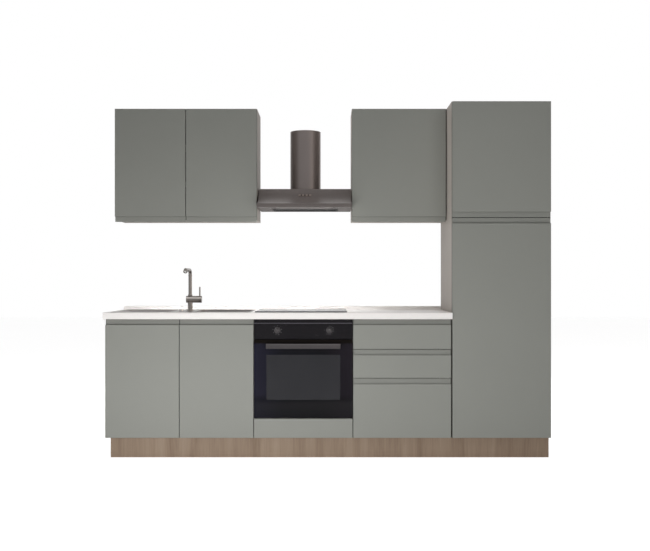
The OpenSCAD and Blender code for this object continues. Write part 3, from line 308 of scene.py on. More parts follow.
def rubber():
    finish = Finish("seal_rubber", specular=0.25)
    dust = finish.noise(60, 3)
    finish.put({"Base Color": finish.mix(dust, linear(30, 30, 31), linear(42, 42, 43)),
                "Roughness": 0.66 + 0.16 * dust})
    return finish.bump(finish.noise(800, 2), 0.00005, 0.6)


def copper():
    """Drawn copper pipe, dulled in patches."""
    finish = Finish("pipe_copper", 0.34, 1.0)
    dull = finish.noise(38, 4, (1, 1, 1), 0.8)
    finish.put({"Base Color": finish.mix(dull, linear(206, 138, 108), linear(142, 92, 72)),
                "Roughness": 0.22 + 0.30 * dull})
    return finish.bump(finish.noise(1, 3, (900, 40, 900)), 0.00003, 0.5)


def zinc_sheet():
    """Zinc-coated sheet with its spangle."""
    finish = Finish("zinc_sheet", 0.42, 0.9)
    tone = finish.part(finish.cells(70, "Color"), "X")
    finish.put({"Base Color": finish.mix(tone, linear(128, 130, 133), linear(165, 167, 170)),
                "Roughness": 0.34 + 0.18 * tone})
    return finish.bump(finish.noise(300, 2), 0.00003, 0.5)


def enamel():
    """Dark oven enamel with pale specks."""
    finish = Finish("oven_enamel", 0.28, 0.0, 0.5)
    speck = finish.cells(650) < 0.16
    finish.put({"Base Color": finish.mix(speck * 0.5, linear(37, 38, 46), linear(120, 124, 134)),
                "Roughness": 0.24 + 0.10 * finish.noise(40, 2), "Coat Weight": 0.4})
    return finish.bump(finish.noise(220, 2), 0.00008, 0.4)


def oven_paint():
    """Near-black painted sheet with a faint violet cast."""
    colour = linear(27, 25, 28)
    finish = Finish("oven_paint", specular=0.16)
    finish.put({"Base Color": finish.mix(finish.noise(5, 2), tinted(colour, 0.85), tinted(colour, 1.15)),
                "Roughness": 0.22 + 0.08 * finish.noise(30, 2)})
    return finish.bump(finish.noise(500, 2), 0.00002, 0.4)


def door_glass(window):
    """Black-backed glass, with a grey see-through window in its middle, painted reflections that brighten the
    border at its sides and in streaks, painted shade darker towards the bottom, and a painted shadow band on
    top.
    """
    low, high = window
    band = 0.023
    finish = Finish("oven_door_glass", 0.06, 0.0, 0.16)
    across, up = finish.axis("X"), finish.axis("Z")
    inside = (across > low.x) * (across < high.x) * (up > low.z) * (up < high.z)
    smear = finish.noise(9, 3, (1, 1, 0.35), 0.5)
    pane = finish.mix(smear, linear(51, 51, 54), linear(61, 61, 64))
    # Painted reflection: the black border brighter and bluer towards its sides.
    share = (across - (low.x - WINDOW_SIDE)) / (high.x - low.x + 2 * WINDOW_SIDE)
    border = finish.ramp(share, [(0.0, linear(36, 35, 48)), (0.3, linear(24, 24, 29)),
                                 (0.7, linear(24, 23, 27)), (1.0, linear(35, 31, 37))])
    # The smear noise gives smears in tone and roughness, and painted reflection streaks on the border.
    border = finish.mix(1.0, border, finish.mix(smear, grey(0.75), grey(1.15)), "MULTIPLY")
    # Painted shade: the border darker towards the bottom.
    dim = finish.shade((up - low.z) / (high.z - low.z), (0.0, 0.5), (0.12, 1.0))
    border = finish.mix(1.0, border, dim, "MULTIPLY")
    # A painted shadow band at the top of the glass, under the panel.
    border = finish.mix(up > high.z + WINDOW_TOP - band, border, linear(19, 15, 12))
    finish.put({"Base Color": finish.mix(inside, border, pane),
                "Roughness": 0.05 + 0.05 * smear + 0.06 * inside,
                "Alpha": 1 - 0.22 * inside})
    return finish


def clear_glass(name, colour, alpha, roughness=0.05):
    finish = Finish(name, roughness, 0.0, 0.5)
    smear = finish.noise(12, 3)
    finish.put({"Base Color": finish.mix(smear, tinted(colour, 0.95), tinted(colour, 1.05)),
                "Roughness": roughness + 0.05 * smear, "Alpha": alpha})
    return finish


def hob_ceramic(rings):
    """Black glass ceramic with thin pale rings round its heating zones."""
    finish = Finish("hob_ceramic", 0.09, 0.0, 0.5)
    across, along = finish.axis("X"), finish.axis("Y")
    half_line = 0.0008
    mark = 0.0
    for x, y, radius in rings:
        away = (across - x) * (across - x) + (along - y) * (along - y)
        reach = finish.node("ShaderNodeMath", {"operation": "SQRT"}, {0: away})
        mark = (reach > radius - half_line) * (reach < radius + half_line) + mark
    smear = finish.noise(8, 3)
    body = finish.mix(smear, linear(18, 18, 20), linear(26, 26, 28))
    finish.put({"Base Color": finish.mix(mark, body, linear(150, 150, 150)),
                "Roughness": 0.10 + 0.08 * smear + 0.25 * mark})
    return finish


def filter_mesh():
    """Layered metal mesh of the grease filter."""
    finish = Finish("filter_mesh", 0.42, 0.85)
    settings = {"wave_type": "BANDS", "bands_direction": "DIAGONAL"}
    weave, cross = [finish.node("ShaderNodeTexWave", settings, {
        "Vector": finish.point((side, 1, 0)), "Scale": 90, "Distortion": 0.3}, "Fac") for side in (1, -1)]
    net = weave * cross
    finish.put({"Base Color": finish.mix(net, linear(22, 20, 19), linear(82, 76, 72)),
                "Roughness": 0.50 - 0.15 * net})
    return finish.bump(net, 0.0006, 0.9)


FINISHES = {}


def make_finishes():
    glass_low, glass_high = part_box("oven_door_glass")
    window = (glass_low + Vector((WINDOW_SIDE, 0, WINDOW_BOTTOM)),
              glass_high - Vector((WINDOW_SIDE, 0, WINDOW_TOP)))
    middle = middle_of("hob_glass")
    zones = [(middle.x - 0.140, middle.y + 0.120, 0.0725), (middle.x + 0.135, middle.y + 0.110, 0.090),
             (middle.x - 0.135, middle.y - 0.110, 0.105), (middle.x + 0.140, middle.y - 0.120, 0.0725)]
    FINISHES.update({
        # The grip and leaf tones below are painted shade; the wall fronts' last number is a painted shadow
        # line.
        "lacquer": lacquer("front_lacquer", "sink_door_left", 0.70, 0.78),
        "wall_lacquer": lacquer("wall_front_lacquer", "wall_door_left", 0.42, 0.98, 0.55),
        "drawer_lacquer": lacquer("drawer_front_lacquer", "drawer_front_middle", 0.75, 0.93),
        # Its dark edging colour also paints the shade in the gaps between fronts.
        "carcass": melamine("carcass_board", linear(168, 161, 154), 0.05, linear(46, 45, 43)),
        "shelf": melamine("shelf_board", linear(205, 202, 196), 0.03),
        "drawer": melamine("drawer_board", linear(214, 212, 208), 0.02),
        "plinth": plinth_wood(),
        "laminate": worktop_laminate(),
        "upstand": moulded("upstand_profile", linear(245, 242, 239), 0.40, 500),
        "black_plastic": moulded("black_plastic", linear(38, 38, 40)),
        "dark_plastic": moulded("dark_plastic", linear(72, 69, 70), 0.34),
        "white_plastic": moulded("white_plastic", linear(214, 214, 212), 0.38),
        "fitting": brushed("fitting_steel", linear(196, 195, 192), 0.30, (60, 60, 900)),
        "sink": sink_steel(),
        "tap": brushed("tap_steel", linear(178, 172, 167), 0.27, (1300, 1300, 60)),
        "chrome": brushed("polished_metal", linear(226, 224, 221), 0.12, (40, 40, 600), 0.00001),
        "hood": satin_metal("hood_metal", linear(115, 108, 105), 0.42, 0.45),
        "chimney": satin_metal("chimney_metal", linear(144, 135, 132), 0.34),
        "plate": satin_metal("switch_plate", linear(164, 152, 144), 0.30),
        "filter": filter_mesh(),
        "zinc": zinc_sheet(),
        "motor": satin_metal("motor_paint", linear(120, 121, 124), 0.5, 0.3),
        "enamel": enamel(),
        "oven_paint": oven_paint(),
        "oven_frame": satin_metal("oven_frame", linear(34, 33, 38), 0.40, 0.5),
        "oven_glass": door_glass(window),
        "inner_glass": clear_glass("inner_glass", linear(120, 124, 126), 0.18),
        "handle": brushed("handle_metal", linear(116, 112, 113), 0.36, (30, 1200, 1200)),
        "element": satin_metal("element_sheath", linear(74, 70, 68), 0.5, 0.9),
        "wire": brushed("plated_wire", linear(196, 196, 195), 0.24, (300, 300, 300)),
        "rubber": rubber(),
        "copper": copper(),
        "warm_dot": moulded("warm_dot", linear(176, 58, 50), 0.3),
        "cool_dot": moulded("cool_dot", linear(58, 92, 168), 0.3),
        "print": moulded("pale_print", linear(186, 186, 188), 0.5),
        "hob": hob_ceramic(zones),
        "lamp": clear_glass("lamp_lens", linear(238, 234, 224), 0.85, 0.35),
        "trim": brushed("trim_metal", linear(150, 148, 156), 0.30, (30, 900, 900)),
    })


# Shapes
def solids_of(node):
    """The node's separate solids, each a bmesh with its flat faces whole."""
    whole = bmesh.new()
    whole.from_mesh(frame["nodes"][node].data)
    bmesh.ops.remove_doubles(whole, verts=whole.verts, dist=1e-6)
    bmesh.ops.dissolve_limit(whole, angle_limit=math.radians(0.5), verts=whole.verts, edges=whole.edges)
    left = set(whole.faces)
    solids = []
    while left:
        group, todo = set(), [left.pop()]
        while todo:
            face = todo.pop()
            group.add(face)
            for edge in face.edges:
                for other in edge.link_faces:
                    if other in left:
                        left.discard(other)
                        todo.append(other)
        solids.append(copy_of(group))
    whole.free()
    return sorted(solids, key=lambda solid: solid.calc_volume(), reverse=True)


def copy_of(faces):
    made, points = bmesh.new(), {}
    for face in sorted(faces, key=lambda face: face.index):
        for vert in face.verts:
            if vert not in points:
                points[vert] = made.verts.new(vert.co)
        made.faces.new([points[vert] for vert in face.verts])
    return made


def box_round(spots):
    return [Vector([pick(spot[i] for spot in spots) for i in range(3)]) for pick in (min, max)]


def limits(solid):
    return box_round([vert.co for vert in solid.verts])


def below(node, level, left_of=math.inf):
    """The box round a node's points under a level and left of a place."""
    spots = [vert.co for vert in frame["nodes"][node].data.vertices]
    return box_round([spot for spot in spots if spot.z < level and spot.x < left_of])


def add_to(whole, part):
    scratch = bpy.data.meshes.new("scratch")
    part.to_mesh(scratch)
    whole.from_mesh(scratch)
    bpy.data.meshes.remove(scratch)
    part.free()


def piece(name, solids, finish, body, edge=None, segments=2, replaced=()):
    """One object from bmeshes, with its sharp edges eased by a bevel, on its body."""
    whole = bmesh.new()
    for solid in solids:
        add_to(whole, solid)
    for face in whole.faces:
        face.smooth = True
    for line in whole.edges:
        line.smooth = len(line.link_faces) == 2 and line.calc_face_angle(0) < SMOOTH_ANGLE
    mesh = bpy.data.meshes.new(name)
    whole.to_mesh(mesh)
    whole.free()
    made = bpy.data.objects.new(name, mesh)
    bpy.context.scene.collection.objects.link(made)
    mesh.materials.append(FINISHES[finish].owner)
    if edge:
        bevel = made.modifiers.new("edge", "BEVEL")
        bevel.width, bevel.segments, bevel.limit_method = edge, segments, "ANGLE"
        bevel.angle_limit, bevel.harden_normals = SMOOTH_ANGLE, True
    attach(made, body)
    if replaced:
        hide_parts(*replaced)
    return made


def skin(loops, capped=True):
    """A solid through loops of points, each with the same number of them."""
    made = bmesh.new()
    rings = [[made.verts.new(spot) for spot in loop] for loop in loops]
    for one, two in zip(rings, rings[1:]):
        for i in range(len(one)):
            made.faces.new((one[i - 1], one[i], two[i], two[i - 1]))
    if capped:
        made.faces.new(rings[0])
        made.faces.new(rings[-1])
    bmesh.ops.recalc_face_normals(made, faces=made.faces)
    return made


def circle(centre, first, second, radius, count):
    turns = [2 * math.pi * i / count for i in range(count)]
    return [centre + radius * (math.cos(turn) * first + math.sin(turn) * second) for turn in turns]


def turned(place, axis, profile, count=40):
    """A solid of revolution from (distance along the axis, radius) pairs."""
    axis = Vector(axis).normalized()
    first = axis.orthogonal().normalized()
    second = axis.cross(first)
    place = Vector(place)
    return skin([circle(place + axis * along, first, second, radius, count)
                 for along, radius in profile])


def block(low, high):
    """A straight-edged piece, eased later by its bevel."""
    made = bmesh.new()
    bmesh.ops.create_cube(made, size=1)
    size = Vector(high) - Vector(low)
    for vert in made.verts:
        vert.co = Vector([low[i] + (vert.co[i] + 0.5) * size[i] for i in range(3)])
    return made


def round_corners(low, high, z, radius, inset=0.0, steps=8):
    """A level rectangle with round corners, as a loop of points."""
    radius = max(radius - inset, 0.0005)
    loop = []
    for turn, x, y in ((0, high.x, high.y), (1, low.x, high.y), (2, low.x, low.y), (3, high.x, low.y)):
        centre = Vector((x + (inset + radius) * (1 if x == low.x else -1),
                         y + (inset + radius) * (1 if y == low.y else -1), z))
        for i in range(steps + 1):
            angle = math.pi / 2 * (turn + i / steps)
            loop.append(centre + radius * Vector((math.cos(angle), math.sin(angle), 0)))
    return loop


def moved(solid, matrix):
    bmesh.ops.transform(solid, matrix=matrix, verts=solid.verts)
    return solid


def screw_heads(places, axis):
    """Pan-head screws, their heads out along the axis."""
    radius = 0.0035
    profile = [(-0.0005, radius), (0.0006, radius), (0.0014, radius * 0.8), (0.0017, radius * 0.5)]
    return [turned(place, axis, profile, 20) for place in places]


def middle_of(node):
    low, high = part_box(node)
    return (low + high) / 2


def body_of(node):
    bodies = frame["record"]["behaviour"]["bodies"]
    return next(name for name, nodes in bodies.items() if node in nodes)


def dress(node, finish, edge=FINE_EDGE, segments=2):
    """The node's own solids with eased edges."""
    return piece(node + "_piece", solids_of(node), finish, body_of(node), edge, segments, [node])


def dress_parts(node, rows):
    """Splits a node's solids, largest first, into pieces of different finishes."""
    solids = solids_of(node)
    start = 0
    for index, (name, count, finish, slot, edge) in enumerate(rows):
        taken = solids[start:start + count] if count else solids[start:]
        start += len(taken)
        piece(name, taken, finish, body_of(node), edge, 2, [node] if index == 0 else ())


# Pieces
def pin_holes(node):
    """Rows of shelf-pin holes in the inner faces of a cabinet's sides, as dark plugs: painted shade in the
    holes.
    """
    low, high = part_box(node)
    pitch, lowest, radius = 0.032, 0.12, 0.0025
    plugs = []
    for step in range(int((high.z - low.z - 2 * lowest) / pitch)):
        z = low.z + lowest + step * pitch
        for y in (low.y + 0.037, high.y - 0.075):
            for x, way in ((low.x + CABINET_BOARD, 1), (high.x - CABINET_BOARD, -1)):
                start = (x - 0.001 * way, y, z)
                plugs.append(turned(start, (way, 0, 0), [(0, radius), (0.0011, radius)], 10))
    piece(node + "_pin_holes", plugs, "black_plastic", body_of(node))


def leg_profile(tall):
    """A leg's foot, threaded stem, tube and top plate, as (height, radius) pairs."""
    foot, stem, tube, plate = 0.025, 0.0105, 0.015, 0.030
    profile = [(0, foot - 0.001), (0.002, foot), (0.006, foot), (0.010, 0.013)]
    for turn in range(6):
        profile += [(0.012 + 0.003 * turn, stem), (0.0135 + 0.003 * turn, 0.0122)]
    profile += [(0.031, stem), (0.032, tube), (0.045, tube), (0.046, tube - 0.001)]
    profile += [(tall - 0.024, tube - 0.0012), (tall - 0.018, tube), (tall - 0.008, tube)]
    return profile + [(tall - 0.008, plate), (tall - 0.001, plate), (tall, plate - 0.001)]


def leg_fins(base, tall):
    """Six ribs under a leg's top plate."""
    fins = []
    for turn in range(6):
        spin = Matrix.Rotation(math.pi / 3 * turn, 4, "Z")
        fin = block((0.013, -0.001, tall - 0.030), (0.029, 0.001, tall - 0.0075))
        for vert in fin.verts:
            if vert.co.x > 0.02 and vert.co.z < tall - 0.02:
                vert.co.x = 0.0145
        fins.append(moved(fin, Matrix.Translation(base) @ spin))
    return fins


def legs():
    """Each leg turned with its ribs, and the plinth clips, which stay clear of the floor."""
    clips, made = [], []
    for solid in solids_of("legs"):
        low, high = limits(solid)
        if low.z > 0.02:
            clips.append(solid)
            continue
        base = Vector(((low.x + high.x) / 2, (low.y + high.y) / 2, 0))
        made += [turned(base, UP, leg_profile(high.z)), *leg_fins(base, high.z)]
    piece("legs_turned", made, "black_plastic", "kitchen", SHEET_EDGE, 1, ["legs"])
    piece("plinth_clips", clips, "black_plastic", "kitchen", FINE_EDGE)


def cabinets():
    for node in CABINETS:
        dress(node, "carcass", BOARD_EDGE)
        pin_holes(node)
    dress("shelves", "shelf", BOARD_EDGE)
    dress("plinth", "plinth", BOARD_EDGE)
    legs()
    for node in ("wall_rails", "hinge_arms", "drawer_slides"):
        dress(node, "fitting", SHEET_EDGE)


def hinge_screws(node):
    """Two screws in each hinge's cup plate, which is taller than its pin."""
    plate_tall, apart = 0.03, 0.038
    heads = []
    for plate in solids_of(node)[1:]:
        low, high = limits(plate)
        if high.z - low.z > plate_tall:
            middle = (low + high) / 2
            places = [(middle.x, high.y, middle.z + shift) for shift in (-apart / 2, apart / 2)]
            heads += screw_heads(places, BACK)
    piece(node + "_screws", heads, "fitting", body_of(node))


def sink_door_gap_shade():
    """A thin black strip on the left door's back edge: painted shade in the joint to the right one."""
    low, high = limits(solids_of("sink_door_left")[0])
    strip = block((high.x - 0.0006, high.y - 0.0040, low.z + 0.001),
                  (high.x + 0.0016, high.y - 0.0005, high.z - 0.046))
    piece("sink_door_gap_shade", [strip], "rubber", "sink_door_left")


def fronts():
    for node in DOORS:
        coat = {"wall": "wall_lacquer", "tall": "drawer_lacquer"}.get(node[:4], "lacquer")
        dress_parts(node, [(node + "_board", 1, coat, "front_lacquer", BOARD_EDGE),
                           (node + "_hinge_plates", 0, "fitting", "fitting_steel", SHEET_EDGE)])
        hinge_screws(node)
    for level in LEVELS:
        coat = "lacquer" if level == "top" else "drawer_lacquer"
        dress("drawer_front_" + level, coat, BOARD_EDGE)
        box = "drawer_box_" + level
        dress_parts(box, [(box + "_boards", 4, "drawer", "drawer_board", BOARD_EDGE),
                          (box + "_runners", 0, "fitting", "fitting_steel", SHEET_EDGE)])
    dress("oven_filler", "lacquer", BOARD_EDGE)
    sink_door_gap_shade()


def recess(level, left_of=math.inf):
    """The plan of a recess in the sink, to the inside of its sheet."""
    low, high = below("sink", level, left_of)
    sheet = Vector((SINK_SHEET, SINK_SHEET, 0))
    return low + sheet, high - sheet


def rolled_edge(low, high, top, radius):
    """Where the level sheet turns down into a recess."""
    return [round_corners(low, high, top - drop, radius, inset)
            for drop, inset in ((0, -0.004), (0.0004, -0.0022), (0.0017, -0.0006), (0.004, 0))]


def bowl_loops(low, high, top):
    """The bowl, from its rolled edge to the outlet in its floor."""
    radius, taper, foot = 0.0585, 0.003, 0.025
    floor_z = top - BOWL_DEEP
    loops = rolled_edge(low, high, top, radius)
    for step in range(5):
        turn = math.pi / 2 * step / 4
        z = floor_z + taper + foot * (1 - math.sin(turn))
        loops.append(round_corners(low, high, z, radius, taper + foot * (1 - math.cos(turn))))
    middle = (low + high) / 2
    for rise, reach in ((0.0006, 0.060), (0, 0.042), (-0.002, 0.0395), (-0.0045, 0.0385)):
        ways = [Vector((spot.x - middle.x, spot.y - middle.y, 0)).normalized() for spot in loops[-1]]
        loops.append([Vector((middle.x, middle.y, floor_z + rise)) + reach * way for way in ways])
    return loops


def pan_loops(low, high, top):
    """The drainer's pan, from its rolled edge to its floor."""
    radius = 0.0285
    corner = ((0.0025, 0.0008), (0.0010, 0.0020), (0.0003, 0.004))
    return rolled_edge(low, high, top, radius) + [
        round_corners(low, high, top - PAN_DEEP + rise, radius, inset) for rise, inset in corner]


def rim_loops(low, high):
    """The sheet's outer edge, eased over."""
    return [round_corners(low, high, high.z - drop, 0.020, inset)
            for drop, inset in ((0, 0.004), (0.0004, 0.0015), (0.0012, 0.0004), (0.0019, 0))]


def sheet_holes(top):
    """The holes in the ledge for the tap's tail and the plug's knob."""
    tap_low, tap_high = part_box("tap_body")
    knob = middle_of("waste_knob")
    tap_place = Vector((tap_low.x + 0.024, (tap_low.y + tap_high.y) / 2, top))
    knob_place = Vector((knob.x, knob.y, top))
    return [circle(place, Vector(RIGHT), Vector(BACK), radius, count)
            for place, radius, count in ((tap_place, 0.0120, 24), (knob_place, 0.0032, 16))]


def level_sheet(outlines):
    """A level face between closed outlines."""
    made = bmesh.new()
    for outline in outlines:
        spots = [made.verts.new(spot) for spot in outline]
        for i in range(len(spots)):
            made.edges.new((spots[i - 1], spots[i]))
    bmesh.ops.triangle_fill(made, use_beauty=True, edges=made.edges, normal=UP)
    return made


def sink_pressing():
    """The sheet as one pressing: rim, bowl with soft corners, drainer, tap and knob holes."""
    low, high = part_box("sink")
    top = high.z
    bowl_low, bowl_high = recess(top - BOWL_DEEP / 2)
    pan_low, pan_high = recess(top - PAN_DEEP, left_of=bowl_low.x - 0.02)
    bowl = bowl_loops(bowl_low, bowl_high, top)
    pan = pan_loops(pan_low, pan_high, top)
    rim = rim_loops(low, high)
    pan_floor = bmesh.new()
    pan_floor.faces.new([pan_floor.verts.new(spot) for spot in pan[-1]])
    sheet = bmesh.new()
    for part in (*[skin(loops, False) for loops in (bowl, pan, rim)],
                 level_sheet([bowl[0], pan[0], rim[0], *sheet_holes(top)]), pan_floor):
        add_to(sheet, part)
    bmesh.ops.remove_doubles(sheet, verts=sheet.verts, dist=1e-6)
    bmesh.ops.recalc_face_normals(sheet, faces=sheet.faces)
    if max(sheet.faces, key=lambda face: face.calc_area()).normal.z < 0:
        bmesh.ops.reverse_faces(sheet, faces=sheet.faces)
    made = piece("sink_pressing", [sheet], "sink", "kitchen", replaced=["sink"])
    shell = made.modifiers.new("sheet", "SOLIDIFY")
    shell.thickness, shell.offset = 0.0012, -1
    count, runout = 9, 0.030
    left, right = pan_low.x + runout, pan_high.x - runout
    pitch = (pan_high.y - pan_low.y) / (count + 1)
    ribs = [rib(left, right, pan_low.y + pitch * i, top - PAN_DEEP, 0.0045, 0.0055)
            for i in range(1, count + 1)]
    piece("drainer_ribs", ribs, "sink", "kitchen")


def rib(x0, x1, y, z, half, height):
    """A pressed rib with a round back that runs out at both ends."""
    loops = []
    for share in (0.0, 0.01, 0.03, 0.06, 0.94, 0.97, 0.99, 1.0):
        rise = min(1.0, math.sin(math.pi / 2 * min(share, 1 - share) / 0.06)) if share not in (0, 1) else 0.02
        x = x0 + (x1 - x0) * share
        loop = [Vector((x, y + half * math.cos(turn * math.pi / 8) * (0.35 + 0.65 * rise),
                        z + height * rise * math.sin(turn * math.pi / 8))) for turn in range(9)]
        loops.append(loop)
    return skin(loops)


def sink_plug():
    """The pop-up plug, a domed disc on its stem."""
    low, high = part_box("sink_plug")
    base = Vector(((low.x + high.x) / 2, (low.y + high.y) / 2, high.z - 0.004))
    radius = (high.x - low.x) / 2
    profile = [(low.z - base.z, 0.003), (-0.0002, 0.003), (0, radius - 0.002), (0.0008, radius),
               (0.0022, radius), (0.0032, radius - 0.0018), (0.0027, radius - 0.006), (0.0027, 0.014),
               (0.0036, 0.011), (0.0040, 0.006), (0.0040, 0.001)]
    piece("sink_plug_turned", [turned(base, UP, profile)], "chrome", "sink_plug",
          replaced=["sink_plug"])


def waste_knob():
    """The plug's knob, a fluted cap on its stem."""
    low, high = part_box("waste_knob")
    middle = (low + high) / 2
    face = high.z - 0.015
    stem, flute = 0.003, 0.0005
    rows = [(low.z, stem, 0), (face, stem, 0), (face, 0.0142, 0), (face + 0.0008, 0.0149, 0),
            (face + 0.0030, 0.0147, 0), (face + 0.0035, 0.0140, flute), (face + 0.0120, 0.0131, flute),
            (face + 0.0128, 0.0128, 0), (face + 0.0142, 0.0120, 0), (face + 0.0150, 0.0105, 0),
            (face + 0.0146, 0.004, 0)]
    turns = [2 * math.pi * i / 72 for i in range(72)]
    loops = []
    for z, radius, cut in rows:
        reaches = [radius - cut * (0.5 + 0.5 * math.cos(24 * turn)) for turn in turns]
        loops.append([Vector((middle.x + reach * math.cos(turn), middle.y + reach * math.sin(turn), z))
                      for reach, turn in zip(reaches, turns)])
    piece("waste_knob_turned", [skin(loops)], "chrome", "waste_knob", replaced=["waste_knob"])


def tap():
    """The tap's solids with softer edges, with an aerator and two warmth dots."""
    dress("tap_body", "tap", 0.0015, 3)
    dress("tap_spout", "tap", 0.0010, 3)
    dress("tap_cap", "tap", 0.0018, 3)
    dress("tap_lever", "tap", 0.0008)
    dress("tap_pipes", "copper", None)
    aerator()
    low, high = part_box("tap_cap")
    face = Vector((high.x, (low.y + high.y) / 2, (low.z + high.z) / 2))
    for name, shift, finish in (("warm", 0.010, "warm_dot"), ("cool", -0.010, "cool_dot")):
        place = face + Vector((-0.0006, shift, -0.010))
        dot = turned(place, RIGHT, [(0, 0.0022), (0.00055, 0.0022)], 16)
        piece("tap_dot_" + name, [dot], finish, "tap_cap")


def aerator():
    """A disc set back in the mouth of the spout's nozzle, with painted shade for its holes."""
    yaw, dip = math.radians(2), math.radians(40)
    way = Vector((-math.sin(yaw) * math.cos(dip), -math.cos(yaw) * math.cos(dip), -math.sin(dip)))
    spots = [vert.co for vert in frame["nodes"]["tap_spout"].data.vertices]
    reach = max(spot.dot(way) for spot in spots)
    rim = [spot for spot in spots if spot.dot(way) > reach - 0.0002]
    centre = sum(rim, Vector()) / len(rim)
    first = way.orthogonal().normalized()
    second = way.cross(first)
    profile = [(0, 0.0087), (0.0012, 0.0087), (0.0016, 0.0080), (0.0016, 0.0005)]
    disc = turned(centre - way * 0.0045, way, profile, 32)
    piece("aerator", [disc], "white_plastic", "tap_spout")
    # Black discs on the disc's face: painted shade for the aerator's holes.
    holes = []
    for ring, count in ((0.0028, 6), (0.0058, 12)):
        for spot in circle(centre - way * 0.0030, first, second, ring, count):
            holes.append(turned(spot, way, [(0, 0.0006), (0.0002, 0.0006)], 10))
    piece("aerator_holes", holes, "black_plastic", "tap_spout")


def worktop_and_sink():
    dress("worktop", "laminate", BOARD_EDGE)
    dress("upstand", "upstand", 0.002, 3)
    sink_pressing()
    dress("sink_waste", "white_plastic")
    sink_plug()
    waste_knob()
    tap()


def hob():
    dress("hob_glass", "hob", 0.0015, 3)
    dress("hob_case", "zinc", SHEET_EDGE)


def knob(node):
    """A turned knob on its skirt, with a tapered grip and a pale pointer."""
    low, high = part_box(node)
    radius, deep = (high.x - low.x) / 2, 0.0257
    front = low.y + 0.006
    centre = Vector(((low.x + high.x) / 2, front + deep, (low.z + high.z) / 2))
    profile = [(-0.012, 0.003), (0.0, 0.003), (0, radius), (0.0035, radius), (0.0046, radius - 0.0012),
               (0.0050, radius - 0.0040), (0.0062, radius - 0.0036), (deep - 0.0045, radius - 0.0052),
               (deep - 0.0018, radius - 0.0062), (deep - 0.0004, radius - 0.0080), (deep, radius - 0.0105),
               (deep - 0.0006, 0.004)]
    body = turned(centre, AHEAD, profile, 48)
    grip_half = radius - 0.0075
    loops = []
    for out, half, less in ((-0.001, 0.0042, 0), (0.003, 0.0036, 0.001), (0.0052, 0.0030, 0.0022),
                            (0.0058, 0.0022, 0.004)):
        low_corner = Vector((centre.x - half, centre.z - (grip_half - less)))
        high_corner = Vector((centre.x + half, centre.z + (grip_half - less)))
        loops.append([Vector((spot.x, front - out, spot.y))
                      for spot in round_corners(low_corner, high_corner, 0, half * 0.95, 0, 5)])
    piece(node + "_turned", [body, skin(loops)], "dark_plastic", node, replaced=[node])
    mark = block((centre.x - 0.0005, front - 0.00595, centre.z + 0.003),
                 (centre.x + 0.0005, front - 0.0055, centre.z + grip_half - 0.005))
    piece(node + "_pointer", [mark], "print", node)


def panel_marks():
    """Plain ticks round each knob, and the pale line let into the panel."""
    low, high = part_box("oven_panel")
    face = low.y
    ticks = []
    for node, count, step in (("oven_knob_left", 9, 40), ("oven_knob_right", 11, 27)):
        middle = middle_of(node)
        shift = Matrix.Translation((middle.x, face, middle.z))
        for i in range(count):
            tick = block((-0.0006, -0.00005, 0.0245), (0.0006, 0.0004, 0.0275 if i % 2 else 0.0285))
            ticks.append(moved(tick, shift @ Matrix.Rotation(math.radians(step * i), 4, "Y")))
    piece("panel_ticks", ticks, "print", "kitchen")
    line = block((low.x + 0.0005, face + 0.0001, high.z - 0.02395),
                 (high.x - 0.0005, face + 0.0011, high.z - 0.02105))
    piece("panel_line", [line], "trim", "kitchen")
    screws = [(x, face + 0.0205, low.z + 0.02) for x in (low.x + 0.018, high.x - 0.018)]
    piece("panel_screws", screw_heads(screws, BACK), "fitting", "kitchen")


def handle():
    """A flat bar with full-round edges on two collared posts."""
    low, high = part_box("oven_handle")
    bar_deep, radius = 0.009, 0.0042
    corners = Vector((low.y, low.z)), Vector((low.y + bar_deep, high.z))
    loops = []
    for x, inset in ((low.x, 0.0022), (low.x + 0.0006, 0.0008), (low.x + 0.0020, 0.0), (high.x - 0.0020, 0.0),
                     (high.x - 0.0006, 0.0008), (high.x, 0.0022)):
        loops.append([Vector((x, spot.x, spot.y)) for spot in round_corners(*corners, 0, radius, inset, 6)])
    solids = [skin(loops)]
    z = (low.z + high.z) / 2
    post = high.y - low.y - bar_deep
    profile = [(0, 0.0070), (0.003, 0.0070), (0.012, 0.0055), (post - 0.004, 0.0055),
               (post - 0.0035, 0.0080), (post - 0.0002, 0.0080)]
    for x in (low.x + 0.025, high.x - 0.025):
        solids.append(turned((x, low.y + bar_deep - 0.0005, z), BACK, profile, 32))
    piece("handle_bar", solids, "handle", "oven_door", replaced=["oven_handle"])


def oven():
    dress_parts("oven_casing", [("oven_casing_sheets", 5, "zinc", "oven_sheet", SHEET_EDGE),
                                ("oven_mouth_flange", 0, "oven_frame", "oven_front", SHEET_EDGE)])
    dress("oven_cavity", "enamel", SHEET_EDGE)
    dress("oven_elements", "element", None)
    dress("oven_rack", "wire", None)
    dress("oven_seal", "rubber", SHEET_EDGE)
    dress("oven_panel", "oven_paint", SHEET_EDGE)
    dress("oven_hinges", "fitting", SHEET_EDGE)
    dress("oven_door", "oven_frame")
    dress_parts("oven_door_glass", [("oven_outer_pane", 1, "oven_glass", "oven_glass", FINE_EDGE),
                                    ("oven_inner_pane", 0, "inner_glass", "oven_glass", FINE_EDGE)])
    handle()
    knob("oven_knob_left")
    knob("oven_knob_right")
    panel_marks()


